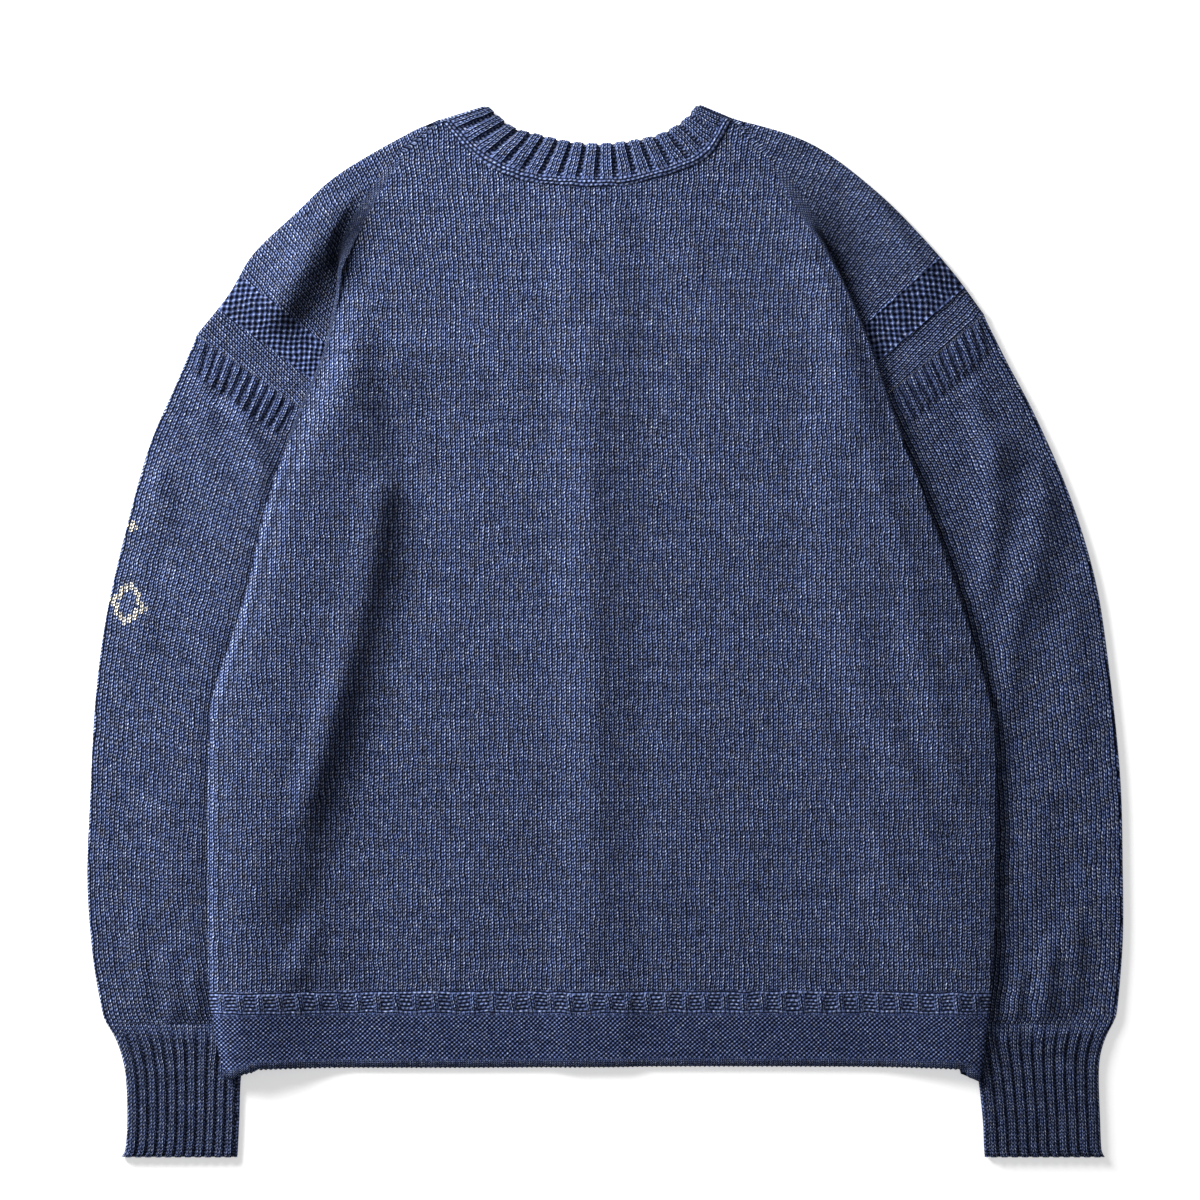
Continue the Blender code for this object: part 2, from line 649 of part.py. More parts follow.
def front(side, collection):
    """One front, face down. It reaches the shoulder as a wing under the back's, and its lower part lies
    over the sleeve."""
    name = "front_left" if side < 0 else "front_right"
    k = 1 if side < 0 else 2
    shares = np.array([0.0, 0.15, 0.3, 0.45, 0.6, 0.75, 0.88, 0.96, 1.0])
    underarm = np.array(UNDERARM_LEFT if side < 0 else UNDERARM_RIGHT, float)
    centre = front_edge(side)

    # The flap below the underarm, which lies over the sleeve, and the middle beside it
    heights = np.array(BODY_ROWS[:-1] + (underarm[1],))
    edges = column(BODY_EDGES, 0, k, heights)
    across = half_columns(side, edges, inner_fold(side, heights))
    across = np.hstack([across, np.full((len(heights), 1), centre)])
    lower = np.dstack([across, np.repeat(heights[:, None], across.shape[1], 1)])
    bend_at = lower[-1, BEND_COLUMN].copy()
    opening = np.linspace(1, 0, BEND_COLUMN + 1)
    lower[-1, : BEND_COLUMN + 1, 1] -= SLIT * opening**0.3
    edge_line = curve([(row[k], row[0]) for row in BODY_EDGES[:-2]])
    height = LEVEL_0 + side_lift(lower, FRONT_LATE) + front_climb(lower, side)
    patches = [flat_rows(lower, height, -1, drop=edge_drop(lower, edge_line))]

    # Above the underarm: from the bend to the neck seam and the front edge
    outline = curve(SHOULDER_LEFT if side < 0 else SHOULDER_RIGHT)
    base = lower[-1, BEND_COLUMN:]
    top = front_neck_line(side)
    upper = base[None] + shares[:, None, None] * (top - base)[None]
    fading_lift = side_lift(base, FRONT_LATE)[None] * (1 - shares[:, None]) ** 3
    body_rows = flat_rows(upper, LEVEL_0 + fading_lift + front_climb(upper, side), -1)
    patches.append(body_rows)

    # The wing, out to the shoulder's outline and down to the armhole seam
    across = np.array([0, 0.1, 0.25, 0.45, 0.65, 0.85, 0.95, 0.98, 1.0])
    outer_ends = along(outline, shares * WING_SHARE)
    inner_ends = upper[:, 0]
    straight = inner_ends[:, None] + across[None, :, None] * (outer_ends - inner_ends)[:, None]
    corner = outer_ends[0]
    to_underarm = np.clip(across / across[2], 0, 1)[:, None]
    to_corner = np.clip((across - across[2]) / (1 - across[2]), 0, 1)[:, None]
    curved_low = bend_at + to_underarm * (underarm - bend_at) + to_corner * (corner - underarm)
    curved_top = along(outline, 1 + across * (WING_SHARE - 1))
    low_bend = curved_low - straight[0]
    top_bend = curved_top - straight[-1]
    top_bend[0] = 0
    plan = straight + ((1 - shares) ** 2)[:, None, None] * low_bend + (shares**2)[:, None, None] * top_bend
    plan[:, 0] = inner_ends
    drop = edge_drop(plan, outline)
    drop[:, 0] = 0
    wing = flat_rows(plan, LEVEL_0 + front_climb(plan, side), -1, drop=drop)
    patches.append([np.concatenate([body[[0]], row[1:]]) for body, row in zip(body_rows, wing)])
    return cloth_wall(name, patches, collection)


def front_welt(side, collection):
    """The welt under one front, plain on its face, which lies on the surface."""
    name = "front_welt_left" if side < 0 else "front_welt_right"
    k = 1 if side < 0 else 2
    hem = curve(HEM_HEIGHTS)
    lines = [curve([(row[k], row[0]) for row in BODY_EDGES[-4:]]), hem]
    rows = []
    for row in welt_rows():
        half = row[:HALF_COUNT] if side < 0 else row[::-1][:HALF_COUNT]
        centre = (front_edge(side), half[-1, 1])
        rows.append(np.vstack([half, centre]))
    plan = np.array(rows)
    drop = np.max([edge_drop(plan, line) for line in lines], axis=0)
    height = LEVEL_0 + side_lift(plan, FRONT_LATE) + front_climb(plan, side)
    return cloth_wall(name, [flat_rows(plan, height, -1, drop=drop)], collection)


def tube_row(outer, inner, top_places, rises, fold_table=None, turn_steps=4):
    """One ring of a flattened tube: the upper layer from the outer to the inner fold, the turn, the under
    layer back, and the outer turn. Places run along the upper layer from 0 to 1."""
    outer, inner = np.array(outer, float), np.array(inner, float)
    inward = unit(inner - outer)
    reach = TUBE_TURN + CLOTH / 2
    start, end = outer + inward * reach, inner - inward * reach
    places = np.asarray(top_places, float)
    top = start + places[:, None] * (end - start)
    lift = folds(top, fold_table) if fold_table else np.zeros(len(top))
    lift = lift * smooth(0, 0.08, places) * smooth(1, 0.92, places)
    bottom = end + np.array([[1 / 3], [2 / 3]]) * (start - end)
    upper = np.column_stack([top, LEVEL_1 + lift]), np.column_stack([0 * top, np.ones(len(top))])
    under = np.column_stack([bottom, (LEVEL_0, LEVEL_0)]), np.column_stack([0 * bottom, (-1, -1)])

    def turn(centre, outward, angles):
        normal = np.column_stack([np.sin(angles)[:, None] * outward, np.cos(angles)])
        return np.array((*centre, TUBE_MIDDLE)) + TUBE_TURN * normal, normal

    angles = np.linspace(0, math.pi, turn_steps + 1)
    parts = [upper, turn(end, inward, angles[1:]), under, turn(start, -inward, angles[::-1])]
    middle = np.vstack([part[0] for part in parts])
    normal = np.vstack([part[1] for part in parts])
    rise = np.zeros((len(middle), 1))
    rise[: len(rises), 0] = rises
    row = np.stack([middle + normal * (CLOTH / 2 + rise), middle - normal * CLOTH / 2], axis=1)
    row[-1] = row[0]
    return row


def sleeve(side, collection):
    """One sleeve, a tube pressed flat, with a band of raised bars at its head."""
    name = "sleeve_left" if side < 0 else "sleeve_right"
    table = SLEEVE_LEFT if side < 0 else SLEEVE_RIGHT
    fold_table = SLEEVE_LEFT_FOLDS if side < 0 else SLEEVE_RIGHT_FOLDS
    outer_line = curve([(row[0], row[1], row[2]) for row in table])
    inner_line = curve([(row[0], row[3], row[4]) for row in table])

    def ends(share):
        outer = [np.interp(share, outer_line[:, 0], outer_line[:, j]) for j in (1, 2)]
        inner = [np.interp(share, inner_line[:, 0], inner_line[:, j]) for j in (1, 2)]
        return np.array(outer), np.array(inner)

    corner = np.array((SHOULDER_LEFT if side < 0 else SHOULDER_RIGHT)[0], float)
    underarm = np.array(UNDERARM_LEFT if side < 0 else UNDERARM_RIGHT, float)
    seam = unit(corner - underarm)
    below = side * np.array((seam[1], -seam[0]))
    outer_line[0, 1:] = corner + SEAM * below
    inner_line[0, 1:] = underarm + SEAM * below
    rows = []
    head = np.linalg.norm(ends(0)[0] - ends(0)[1])
    places, raised = bar_columns(head, 5.0, HEAD_BAR_PERIOD, HEAD_BAR_WIDTH, HEAD_BARS)
    shifts = np.interp(places, *np.transpose(HEAD_BAR_SHIFTS)) * (places < head)
    to_share = 0.05 / np.linalg.norm(ends(0.05)[0] - ends(0)[0])
    for way, lifted in ((0.0, 0), (1.6, 1), (HEAD_BAR_LENGTH, 1), (HEAD_BAR_LENGTH + 2, 0)):
        outer, inner = ends(way * to_share)
        leaning = places + shifts * way / HEAD_BAR_LENGTH
        rows.append(tube_row(outer, inner, leaning / head, HEAD_BAR_RISE * lifted * raised))
    coarse = np.array([0, 0.08, 0.16, 0.26, 0.36, 0.46, 0.58, 0.78, 1.0])
    for share in (0.055, 0.09, 0.13, 0.18, 0.24, 0.30, 0.36, 0.44, 0.54, 0.64, 0.74, 0.84, 0.90, 0.95, 1.0):
        outer, inner = ends(share)
        rows.append(tube_row(outer, inner, coarse, 0 * coarse, fold_table))
    return cloth_wall(name, [rows], collection)


def rib_places(count, fall=0.18):
    """Places and raised marks for ribs: each is a rise, a crest and a fall, in one period of 1 / count."""
    places, raised = [], []
    for k in range(count):
        for part, mark in ((0.06, 0), (0.06 + fall, 1), (0.68 - fall / 2, 1), (0.68 + fall / 2, 0)):
            places.append((k + part) / count)
            raised.append(mark)
    return np.array([0.0] + places + [1.0]), np.array([0] + raised + [0])


def cuff(side, collection):
    """One ribbed cuff, a tube pressed flat."""
    name = "cuff_left" if side < 0 else "cuff_right"
    places, raised = rib_places(CUFF_RIBS)
    table = CUFF_LEFT if side < 0 else CUFF_RIGHT
    rows = []
    for k, (_, outer_x, outer_y, inner_x, inner_y) in enumerate(table):
        strength = 0.4 if k == 0 else 1.0
        rise = CUFF_RIB_RISE * strength * raised
        rows.append(tube_row((outer_x, outer_y), (inner_x, inner_y), places, rise))
    return cloth_wall(name, [rows], collection)


def neckband(collection):
    """The ribbed neckband: one strip, from the left front edge, over the fold at the shoulder, round the
    back of the neck and down to the right front edge."""
    width = np.array([0.0, 0.06, 0.55, 0.9, 0.97, 1.0])
    rounding = EDGE_DROP * np.array([0, 0, 0, 0.05, 0.4, 1.0])
    places, raised = rib_places(NECK_RIBS)
    seam, free = along(neck_line(), places), along(curve(NECK_FREE), places)
    away = unit(free - seam)
    seam = seam + away * NECK_GAP

    def row(seam_point, free_point, middle_height, facing, rise):
        plan = seam_point + width[:, None] * (free_point - seam_point)
        height = middle_height + opening_lift(plan) * (facing > 0)
        outer = np.column_stack([plan, height + facing * (CLOTH / 2 + rise - rounding)])
        inner = np.column_stack([plan, height - facing * CLOTH / 2 + 0 * width])
        return np.stack([outer, inner], axis=1)

    def turn(seam_point, free_point, outward, backwards):
        """The fold at the shoulder: half a turn from the front layer up to the back layer."""
        angles = np.linspace(-math.pi / 2, math.pi / 2, 7)[1:-1]
        found = []
        for angle in angles:
            normal = np.concatenate([math.cos(angle) * outward, [math.sin(angle)]])
            line = seam_point + width[:, None] * (free_point - seam_point)
            middle = np.column_stack([line, np.full(len(width), TUBE_MIDDLE)]) + TUBE_TURN * normal
            thin = (CLOTH / 2 - rounding * 0.5)[:, None]
            found.append(np.stack([middle + thin * normal, middle - CLOTH / 2 * normal], axis=1))
        return found[::-1] if backwards else found

    for side, free_table in ((-1, FRONT_FREE_LEFT), (1, FRONT_FREE_RIGHT)):
        spots = np.array([1.0, 0.88, 0.75, 0.6, 0.45, 0.3, 0.15, 0.05])
        front_seam, front_free = along(front_neck_line(side), spots), along(curve(free_table), spots)
        front_seam = front_seam + unit(front_free - front_seam) * NECK_GAP
        front_seam[0, 0] = front_free[0, 0] = front_edge(side)
        part = []
        for a, b in zip(front_seam, front_free):
            climb = front_climb(a + width[:, None] * (b - a), side)
            part.append(row(a, b, LEVEL_0 + climb, -1, 0.0))
        k = 0 if side < 0 else -1
        outward = unit(np.array((-(free[k] - seam[k])[1], (free[k] - seam[k])[0])) * -side)
        inset = TUBE_TURN + CLOTH / 2
        fold_seam, fold_free = seam[k] - outward * inset, free[k] - outward * inset
        start = row(fold_seam, fold_free, LEVEL_0, -1, 0.0)
        bend = turn(fold_seam, fold_free, outward, side > 0)
        seam[k], free[k] = fold_seam, fold_free
        if side < 0:
            first = part + [start] + bend
        else:
            last = bend + [start] + part[::-1]
    crest = RIB_RISE * np.array([0.5, 1, 1, 1, 1, 0.7])
    ribbed = [row(a, b, LEVEL_1, 1, mark * crest) for a, b, mark in zip(seam, free, raised)]
    return cloth_wall("neckband", [first + ribbed + last], collection)


def button_heights():
    return np.linspace(BUTTON_LOW, BUTTON_HIGH, BUTTON_COUNT)


def button_band(side, collection, cutters):
    """One button band. The left one carries the buttonholes and lies on the surface, and the cloth of both
    is pressed thin over each button."""
    name = "button_band_left" if side < 0 else "button_band_right"
    hem = curve(HEM_HEIGHTS)
    half = BAND_WIDTH / 2
    low = np.interp(CENTRE, hem[:, 0], hem[:, 1])
    top = FRONT_FREE_LEFT[-1][1]
    press = BUTTON_THICKNESS + GAP
    crest, foot = POCKET_RADIUS + 1, POCKET_RADIUS + 4
    across = np.array([-half, -half + 1.5, -foot, -crest, crest, foot, half - 1.5, half])
    heights, marks = [low, low + 1.5], [0, 0]
    for height in button_heights():
        heights += [height - foot, height - crest, height + crest, height + foot]
        marks += [0, 1, 1, 0]
    heights, marks = np.array(heights + [top]), np.array(marks + [0])
    over = np.outer(marks, (0, 0, 0, 1, 1, 0, 0, 0))
    plan = np.dstack(np.meshgrid(CENTRE + across, heights))
    lower = np.zeros(plan.shape[:-1])
    upper = CLOTH + (press + BAND_OVER_BUTTON - CLOTH) * over
    if side > 0:
        lower = upper + GAP
        upper = np.full(plan.shape[:-1], 2 * CLOTH + GAP)
    outer = np.dstack([plan, lower])
    inner = np.dstack([plan, upper])
    wall = cloth_wall(name, [list(np.stack([outer, inner], axis=2))], collection)
    if side < 0:
        for number, height in enumerate(button_heights(), 1):
            bpy.ops.mesh.primitive_cylinder_add(
                vertices=24,
                radius=POCKET_RADIUS * MM,
                depth=2 * press * MM,
                location=(CENTRE * MM, height * MM, 0),
            )
            cutter = bpy.context.object
            cutter.name = f"button_pocket_{number}"
            cutter.hide_render = True
            cutter.display_type = "WIRE"
            for holder in list(cutter.users_collection):
                holder.objects.unlink(cutter)
            cutters.objects.link(cutter)
            cut = wall.modifiers.new(cutter.name, "BOOLEAN")
            cut.operation = "DIFFERENCE"
            cut.object = cutter
    return wall


def buttons(collection):
    """Seven turned buttons with a raised rim, pressed into the left band, face down."""
    rim, dish = 1.6, 0.5
    profile = (
        (0.0, BUTTON_THICKNESS),
        (BUTTON_RADIUS, BUTTON_THICKNESS),
        (BUTTON_RADIUS, 0.4),
        (BUTTON_RADIUS - 0.4, 0.0),
        (BUTTON_RADIUS - rim, 0.0),
        (BUTTON_RADIUS - rim - 0.6, dish),
        (0.0, dish),
    )
    mesh = bpy.data.meshes.new("button")
    points = [(radius * MM, 0, height * MM) for radius, height in profile]
    mesh.from_pydata(points, [(k, k + 1) for k in range(len(points) - 1)], [])
    for number, height in enumerate(button_heights(), 1):
        button = bpy.data.objects.new(f"button_{number}", mesh)
        button.location = (CENTRE * MM, height * MM, 0)
        turn = button.modifiers.new("turn", "SCREW")
        turn.steps = turn.render_steps = 14
        turn.use_merge_vertices = True
        turn.merge_threshold = 1e-6
        turn.use_smooth_shade = False
        collection.objects.link(button)
    dress(button, BUTTON_BROWN, 0.35)


def main():
    for thing in list(bpy.data.objects):
        bpy.data.objects.remove(thing)
    collection = bpy.data.collections.new("fisherman_cardigan")
    cutters = bpy.data.collections.new("cutters")
    bpy.context.scene.collection.children.link(collection)
    bpy.context.scene.collection.children.link(cutters)
    back(collection)
    back_welt(collection)
    for side in (-1, 1):
        front(side, collection)
        front_welt(side, collection)
        sleeve(side, collection)
        cuff(side, collection)
        button_band(side, collection, cutters)
    neckband(collection)
    buttons(collection)


main()
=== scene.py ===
"""The look of a fisherman cardigan in blue wool that lies flat with its back up.

Lengths are worked out in millimetres in the model's own frame and become metres when a mesh is made. +X is
to the right of somebody who looks down on the back, +Y runs from the hem to the collar and +Z is up. Each
piece of knitting carries a UV map in stitches: one unit across is one wale, one unit along is one course.
"""

import logging
import math
from dataclasses import dataclass, field
from enum import Enum

import bpy
import numpy as np
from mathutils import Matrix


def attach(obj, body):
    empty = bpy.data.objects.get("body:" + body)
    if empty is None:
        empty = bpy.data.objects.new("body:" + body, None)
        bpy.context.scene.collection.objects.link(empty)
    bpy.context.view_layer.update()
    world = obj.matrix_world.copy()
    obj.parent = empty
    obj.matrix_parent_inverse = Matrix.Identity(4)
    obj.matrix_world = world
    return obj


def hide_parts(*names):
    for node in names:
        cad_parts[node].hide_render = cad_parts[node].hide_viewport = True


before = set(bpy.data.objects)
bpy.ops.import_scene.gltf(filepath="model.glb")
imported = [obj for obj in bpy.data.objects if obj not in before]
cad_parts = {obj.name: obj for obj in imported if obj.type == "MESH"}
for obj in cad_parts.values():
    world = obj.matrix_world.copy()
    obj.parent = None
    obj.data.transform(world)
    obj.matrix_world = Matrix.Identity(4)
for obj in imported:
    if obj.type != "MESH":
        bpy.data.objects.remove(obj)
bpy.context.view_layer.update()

Array = np.ndarray
MM = 0.001
log = logging.getLogger("cardigan")


class Side(Enum):
    """The side of the garment as it lies, seen from above."""

    LEFT = -1
    RIGHT = 1

    @property
    def word(self) -> str:
        """The word that ends the names of pieces on this side."""
        return self.name.lower()

    @property
    def column(self) -> int:
        """The column of this side in the table of the body's edges."""
        return 1 if self is Side.LEFT else 2

    @property
    def end(self) -> int:
        """The place of this side in a row of points that runs from left to right."""
        return 0 if self is Side.LEFT else -1


@dataclass(frozen=True)
class Cloth:
    """The cloth and the way its layers lie on each other, in millimetres."""

    thick: float = 2.3
    gap: float = 0.3
    side_lift: float = 6.8
    slope_start: float = -14.0
    slope_end: float = 22.0
    hem_slope: float = 60.0
    edge_round: float = 4.5
    edge_drop: float = 1.9
    seam: float = 0.3
    wale: float = 3.6
    course: float = 2.7

    @property
    def half(self) -> float:
        """Half the thickness."""
        return self.thick / 2

    @property
    def low(self) -> float:
        """The middle of the layer that lies on the surface."""
        return self.half

    @property
    def high(self) -> float:
        """The middle of the layer above it."""
        return self.low + self.thick + self.gap

    @property
    def tube_turn(self) -> float:
        """The radius of a fold between the two layers."""
        return (self.high - self.low) / 2

    @property
    def tube_middle(self) -> float:
        """The height of that fold's middle."""
        return (self.high + self.low) / 2

    @property
    def inset(self) -> float:
        """How far a fold's middle lies inside its outline."""
        return self.tube_turn + self.half


CLOTH = Cloth()

# Outlines and edges, as the solids have them
BODY_EDGES = (
    # height, left, right
    (143, -238, 224),
    (96, -253, 240),
    (23, -270, 266),
    (-44, -292, 286),
    (-78, -296, 292),
    (-149, -297, 293),
    (-206, -297, 292),
    (-269, -296, 289),
    (-310, -290, 284),
    (-336, -283, 280),
)
WELT_TOP = -269.0
HEM_HEIGHTS = (
    # across, height
    (-284, -335.5),
    (-273, -332),
    (-261, -328.7),
    (-248, -327),
    (-100, -327),
    (71, -326),
    (252, -327),
    (266, -331),
    (280, -337),
)
TUCK = {
    Side.LEFT: (
        # share, across, height
        (0.00, -238, 143),
        (0.20, -226, 172),
        (0.40, -211, 208),
        (0.60, -202, 248),
        (0.75, -195, 286),
        (0.90, -160, 347),
        (1.00, -124, 383),
    ),
    Side.RIGHT: (
        # share, across, height
        (0.00, 224, 143),
        (0.20, 211, 180),
        (0.40, 197, 220),
        (0.60, 179, 261),
        (0.75, 158, 301),
        (0.90, 128, 347),
        (1.00, 96, 384),
    ),
}
SHOULDER = {
    Side.LEFT: ((-306, 222), (-282, 252), (-264, 282), (-233, 312), (-200, 342), (-149, 372), (-124, 383)),
    Side.RIGHT: ((284, 237), (262, 267), (236, 297), (206, 327), (168, 357), (138, 372), (96, 384)),
}
WING_SHARE = 0.62
UNDERARM = {Side.LEFT: (-169, 128), Side.RIGHT: (158, 134)}
NECK_EDGES = (
    # seam across, seam height, free edge across, free edge height
    (-124, 383, -89, 394),
    (-101, 358, -70, 378),
    (-72, 340, -50, 372),
    (-40, 334, -28, 367),
    (-8, 332, -6, 365),
    (24, 335, 17, 367),
    (56, 344, 40, 372),
    (80, 357, 58, 382),
    (96, 384, 70, 395),
)
FRONT_SEAM = {
    Side.LEFT: ((-124, 383), (-120, 352), (-102, 318), (-70, 292), (-24, 283)),
    Side.RIGHT: ((96, 384), (98, 352), (82, 318), (52, 292), (8, 283)),
}
FRONT_FREE = {
    Side.LEFT: ((-89, 394), (-86, 368), (-75, 343), (-54, 324), (-24, 314)),
    Side.RIGHT: ((70, 395), (69, 368), (58, 343), (38, 324), (8, 314)),
}
SLEEVE_ENDS = {
    Side.LEFT: (
        # share, outer across, outer height, inner across, inner height
        (0.00, -306, 221, -169, 127),
        (0.05, -322, 184, -165, 92),
        (0.13, -342, 137, -163, 53),
        (0.24, -360, 72, -170, 8),
        (0.35, -374, 10, -184, -44),
        (0.47, -382, -52, -196, -94),
        (0.60, -386, -127, -210, -149),
        (0.73, -388, -187, -223, -202),
        (0.87, -384, -243, -240, -251),
        (0.96, -377, -284, -259, -286),
        (1.00, -374, -293, -266, -294),
    ),
    Side.RIGHT: (
        # share, outer across, outer height, inner across, inner height
        (0.00, 284, 236, 158, 133),
        (0.05, 301, 202, 156, 97),
        (0.13, 323, 160, 160, 53),
        (0.24, 348, 102, 169, 8),
        (0.35, 367, 40, 182, -44),
        (0.47, 377, -22, 196, -94),
        (0.60, 386, -108, 210, -149),
        (0.73, 388, -180, 223, -202),
        (0.87, 388, -232, 242, -251),
        (0.96, 384, -282, 262, -286),
        (1.00, 381, -293, 271, -294),
    ),
}
CUFF_ENDS = {
    Side.LEFT: (
        # share, outer across, outer height, inner across, inner height
        (0.00, -374, -293.2, -266, -294.2),
        (0.12, -367, -305, -268, -308),
        (0.25, -362, -319, -271, -323),
        (0.40, -359, -336, -273, -338),
        (0.70, -358, -366, -274, -367),
        (0.93, -359.5, -388, -275, -388),
        (1.00, -362.5, -394, -275.5, -394),
    ),
    Side.RIGHT: (
        # share, outer across, outer height, inner across, inner height
        (0.00, 381, -293.2, 271, -294.2),
        (0.12, 375, -305, 273, -308),
        (0.25, 371, -319, 277, -323),
        (0.40, 370, -336, 280, -338),
        (0.70, 371, -366, 283, -367),
        (0.93, 372, -388, 284, -388),
        (1.00, 374.5, -394, 284.5, -394),
    ),
}

# Soft folds, as ridges with their own rise
FoldTable = tuple[tuple[float, float, float, float, float, float], ...]
BACK_FOLDS: FoldTable = (
    # across, height, to across, to height, breadth, rise
    (-170, 262, -206, 130, 24, 3.06),
    (150, 290, 196, 150, 14, 4.08),
    (-163, 118, -178, 20, 12, 5.44),
    (-184, 20, -190, -20, 11, 3.06),
    (-150, 215, -40, 190, 26, 4.08),
    (60, 240, 150, 190, 24, 3.4),
    (150, -40, 215, -190, 16, 5.44),
    (225, 20, 262, -120, 12, 4.08),
    (-12, 220, -8, -240, 15, 4.76),
    (-194, -22, -226, -140, 11, 6.8),
    (60, -60, 40, -240, 22, 1.36),
    (-240, -60, -262, -200, 14, 2.04),
)
WING_FOLDS: FoldTable = (
    # across, height, to across, to height, breadth, rise
    (-243, 236, -210, 298, 15, 8.58),
    (-207, 300, -190, 326, 13, 3.96),
    (-262, 232, -204, 318, 26, 2.97),
    (250, 262, 190, 332, 16, 4.95),
)
BACK_CREASES: FoldTable = (
    # across, height, to across, to height, breadth, rise
    (30, 328, 76, 268, 14, 2.52),
    (196, 130, 236, 20, 9, 3.36),
    (120, 110, 205, 20, 13, 2.52),
    (180, -10, 246, -150, 11, 2.24),
    (205, -60, 262, -205, 10, 1.96),
    (-160, 200, -130, 130, 12, 2.52),
    (-120, 20, -150, -120, 14, 1.12),
    (-60, -40, -90, -210, 20, 1.12),
    (110, -120, 90, -260, 16, 0.84),
    (-215, -215, -235, -265, 8, 2.24),
    (225, -215, 240, -265, 8, 2.24),
)
SLEEVE_FOLDS: dict[Side, FoldTable] = {
    Side.LEFT: (
        # across, height, to across, to height, breadth, rise
        (-277, 172, -250, 104, 9, 6.8),
        (-325, 38, -285, -12, 8, 3.06),
        (-340, 130, -330, 80, 12, 4.08),
        (-330, -240, -318, -286, 9, 5.44),
        (-300, 190, -296, 150, 9, 3.12),
        (-352, 60, -345, -20, 12, 2.34),
        (-330, -120, -318, -200, 14, 2.34),
        (-352, -215, -345, -280, 8, 3.12),
        (-310, -250, -305, -290, 6, 3.12),
    ),
    Side.RIGHT: (
        # across, height, to across, to height, breadth, rise
        (294, 150, 292, 95, 15, 6.46),
        (292, 95, 286, 25, 10, 5.78),
        (330, 120, 318, 20, 14, 6.12),
        (334, -232, 328, -286, 9, 5.44),
        (276, 178, 292, 120, 8, 4.16),
        (310, 60, 300, -60, 11, 3.64),
        (350, 20, 352, -90, 13, 2.34),
        (330, -110, 318, -200, 14, 2.34),
        (352, -215, 348, -280, 8, 3.12),
        (312, -250, 306, -290, 6, 3.12),
    ),
}
# Shade painted into the knit along the troughs of the folds on the left
PAINTED_TROUGHS: tuple[tuple[tuple[tuple[float, float], ...], float, float], ...] = (
    # points of the line where the painted shade is darkest, breadth, depth
    (
        (
            *((-163, 92), (-170, 46), (-180, 0), (-186, -44)),
            *((-197, -89), (-213, -134), (-222, -179), (-238, -208)),
        ),
        14,
        0.5,
    ),
    (((-184, 304), (-203, 277), (-221, 253), (-237, 231)), 13, 0.68),
)

# How far the body swells beside each edge, where it is highest and where it ends
BULGE_RISE = {Side.LEFT: 6.4, Side.RIGHT: 2.2}
BULGE_CREST = 22.0
BULGE_END = 95.0

# The front opening, which lies under the middle of the back
OPENING_MIDDLE = -8.0
BAND_WIDTH = 32.0
BAND_CLIMB = 26.0
OPENING_FADE = (350.0, 318.0)
RIDGE_HALF = 16.5
RIDGE_SLOPE = 24.0

# Shares across a row that lie close to its edge
CLOSE_SHARES = np.array([0.0, 0.0015, 0.004, 0.0085])


def smooth(start: float, end: float, value: Array | float) -> Array:
    """A soft step: with s the share of the way from start to end, kept in 0 to 1, it is 3s² - 2s³.

    Args:
        start: Where the step is 0.
        end: Where the step is 1.
        value: The places to work it out at.

    Returns:
        The step's height at each place.
    """
    share = np.clip((np.asarray(value, float) - start) / (end - start), 0, 1)
    return share * share * (3 - 2 * share)


def bell(distance: Array, breadth: float) -> Array:
    """A bell curve: e to the power of minus the square of the distance over the breadth."""
    return np.exp(-((distance / breadth) ** 2))


def pulse(phase: Array, low: float, high: float, soft: float) -> Array:
    """1 between low and high in each period of 1, with soft sides.

    Args:
        phase: The phase, where 1 is one period.
        low: Where the raised part starts.
        high: Where it ends.
        soft: The breadth of each side.

    Returns:
        The height of the pulse.
    """
    part = phase - np.floor(phase)
    return smooth(low, low + soft, part) * smooth(high, high - soft, part)


def unit(vector: Array) -> Array:
    """The vectors divided by their own lengths."""
    vector = np.asarray(vector, float)
    return vector / np.linalg.norm(vector, axis=-1, keepdims=True)


def curve(points: Array, steps: int = 12) -> Array:
    """A dense line through the points: each span is a cubic whose ends run along the line from the point
    before to the point after.

    Args:
        points: The points, one a row.
        steps: How many pieces each span gets.

    Returns:
        The dense line's points.
    """
    points = np.array(points, float)
    before = np.vstack([2 * points[0] - points[1], points[:-1]])
    after = np.vstack([points[1:], 2 * points[-1] - points[-2]])
    lean = (after - before) / 2
    s = np.linspace(0, 1, steps + 1)[1:, None]
    spans = (
        (2 * s**3 - 3 * s**2 + 1) * points[:-1, None]
        + (s**3 - 2 * s**2 + s) * lean[:-1, None]
        + (3 * s**2 - 2 * s**3) * points[1:, None]
        + (s**3 - s**2) * lean[1:, None]
    )
    return np.vstack([points[:1], spans.reshape(-1, points.shape[1])])


def run_of(line: Array) -> Array:
    """How far along a line each of its points lies."""
    return np.concatenate([[0], np.cumsum(np.linalg.norm(np.diff(line, axis=0), axis=1))])


def read_line(line: Array, keys: Array, at: Array) -> Array:
    """The points of a line at these values of a rising key, with one more axis than the values."""
    return np.stack([np.interp(at, keys, column) for column in line.T], axis=-1)


def along(line: Array, shares: Array) -> Array:
    """The points at these shares of a line's length."""
    lengths = run_of(line)
    return read_line(line, lengths, np.asarray(shares, float) * lengths[-1])


def between(start: Array, end: Array, shares: Array) -> Array:
    """Rows of points in plan, each straight from a start to an end.

    Args:
        start: Where each row starts.
        end: Where each row ends.
        shares: Shares of the way, the same for every row.

    Returns:
        The points, by rows and columns.
    """
    return start[:, None] + shares[None, :, None] * (end - start)[:, None]


def body_edge(side: Side, first: int = 0, last: int | None = None) -> Array:
    """The body's edge on one side in plan, from the underarm down, through some rows of its table."""
    return curve([(row[side.column], row[0]) for row in BODY_EDGES[first:last]])


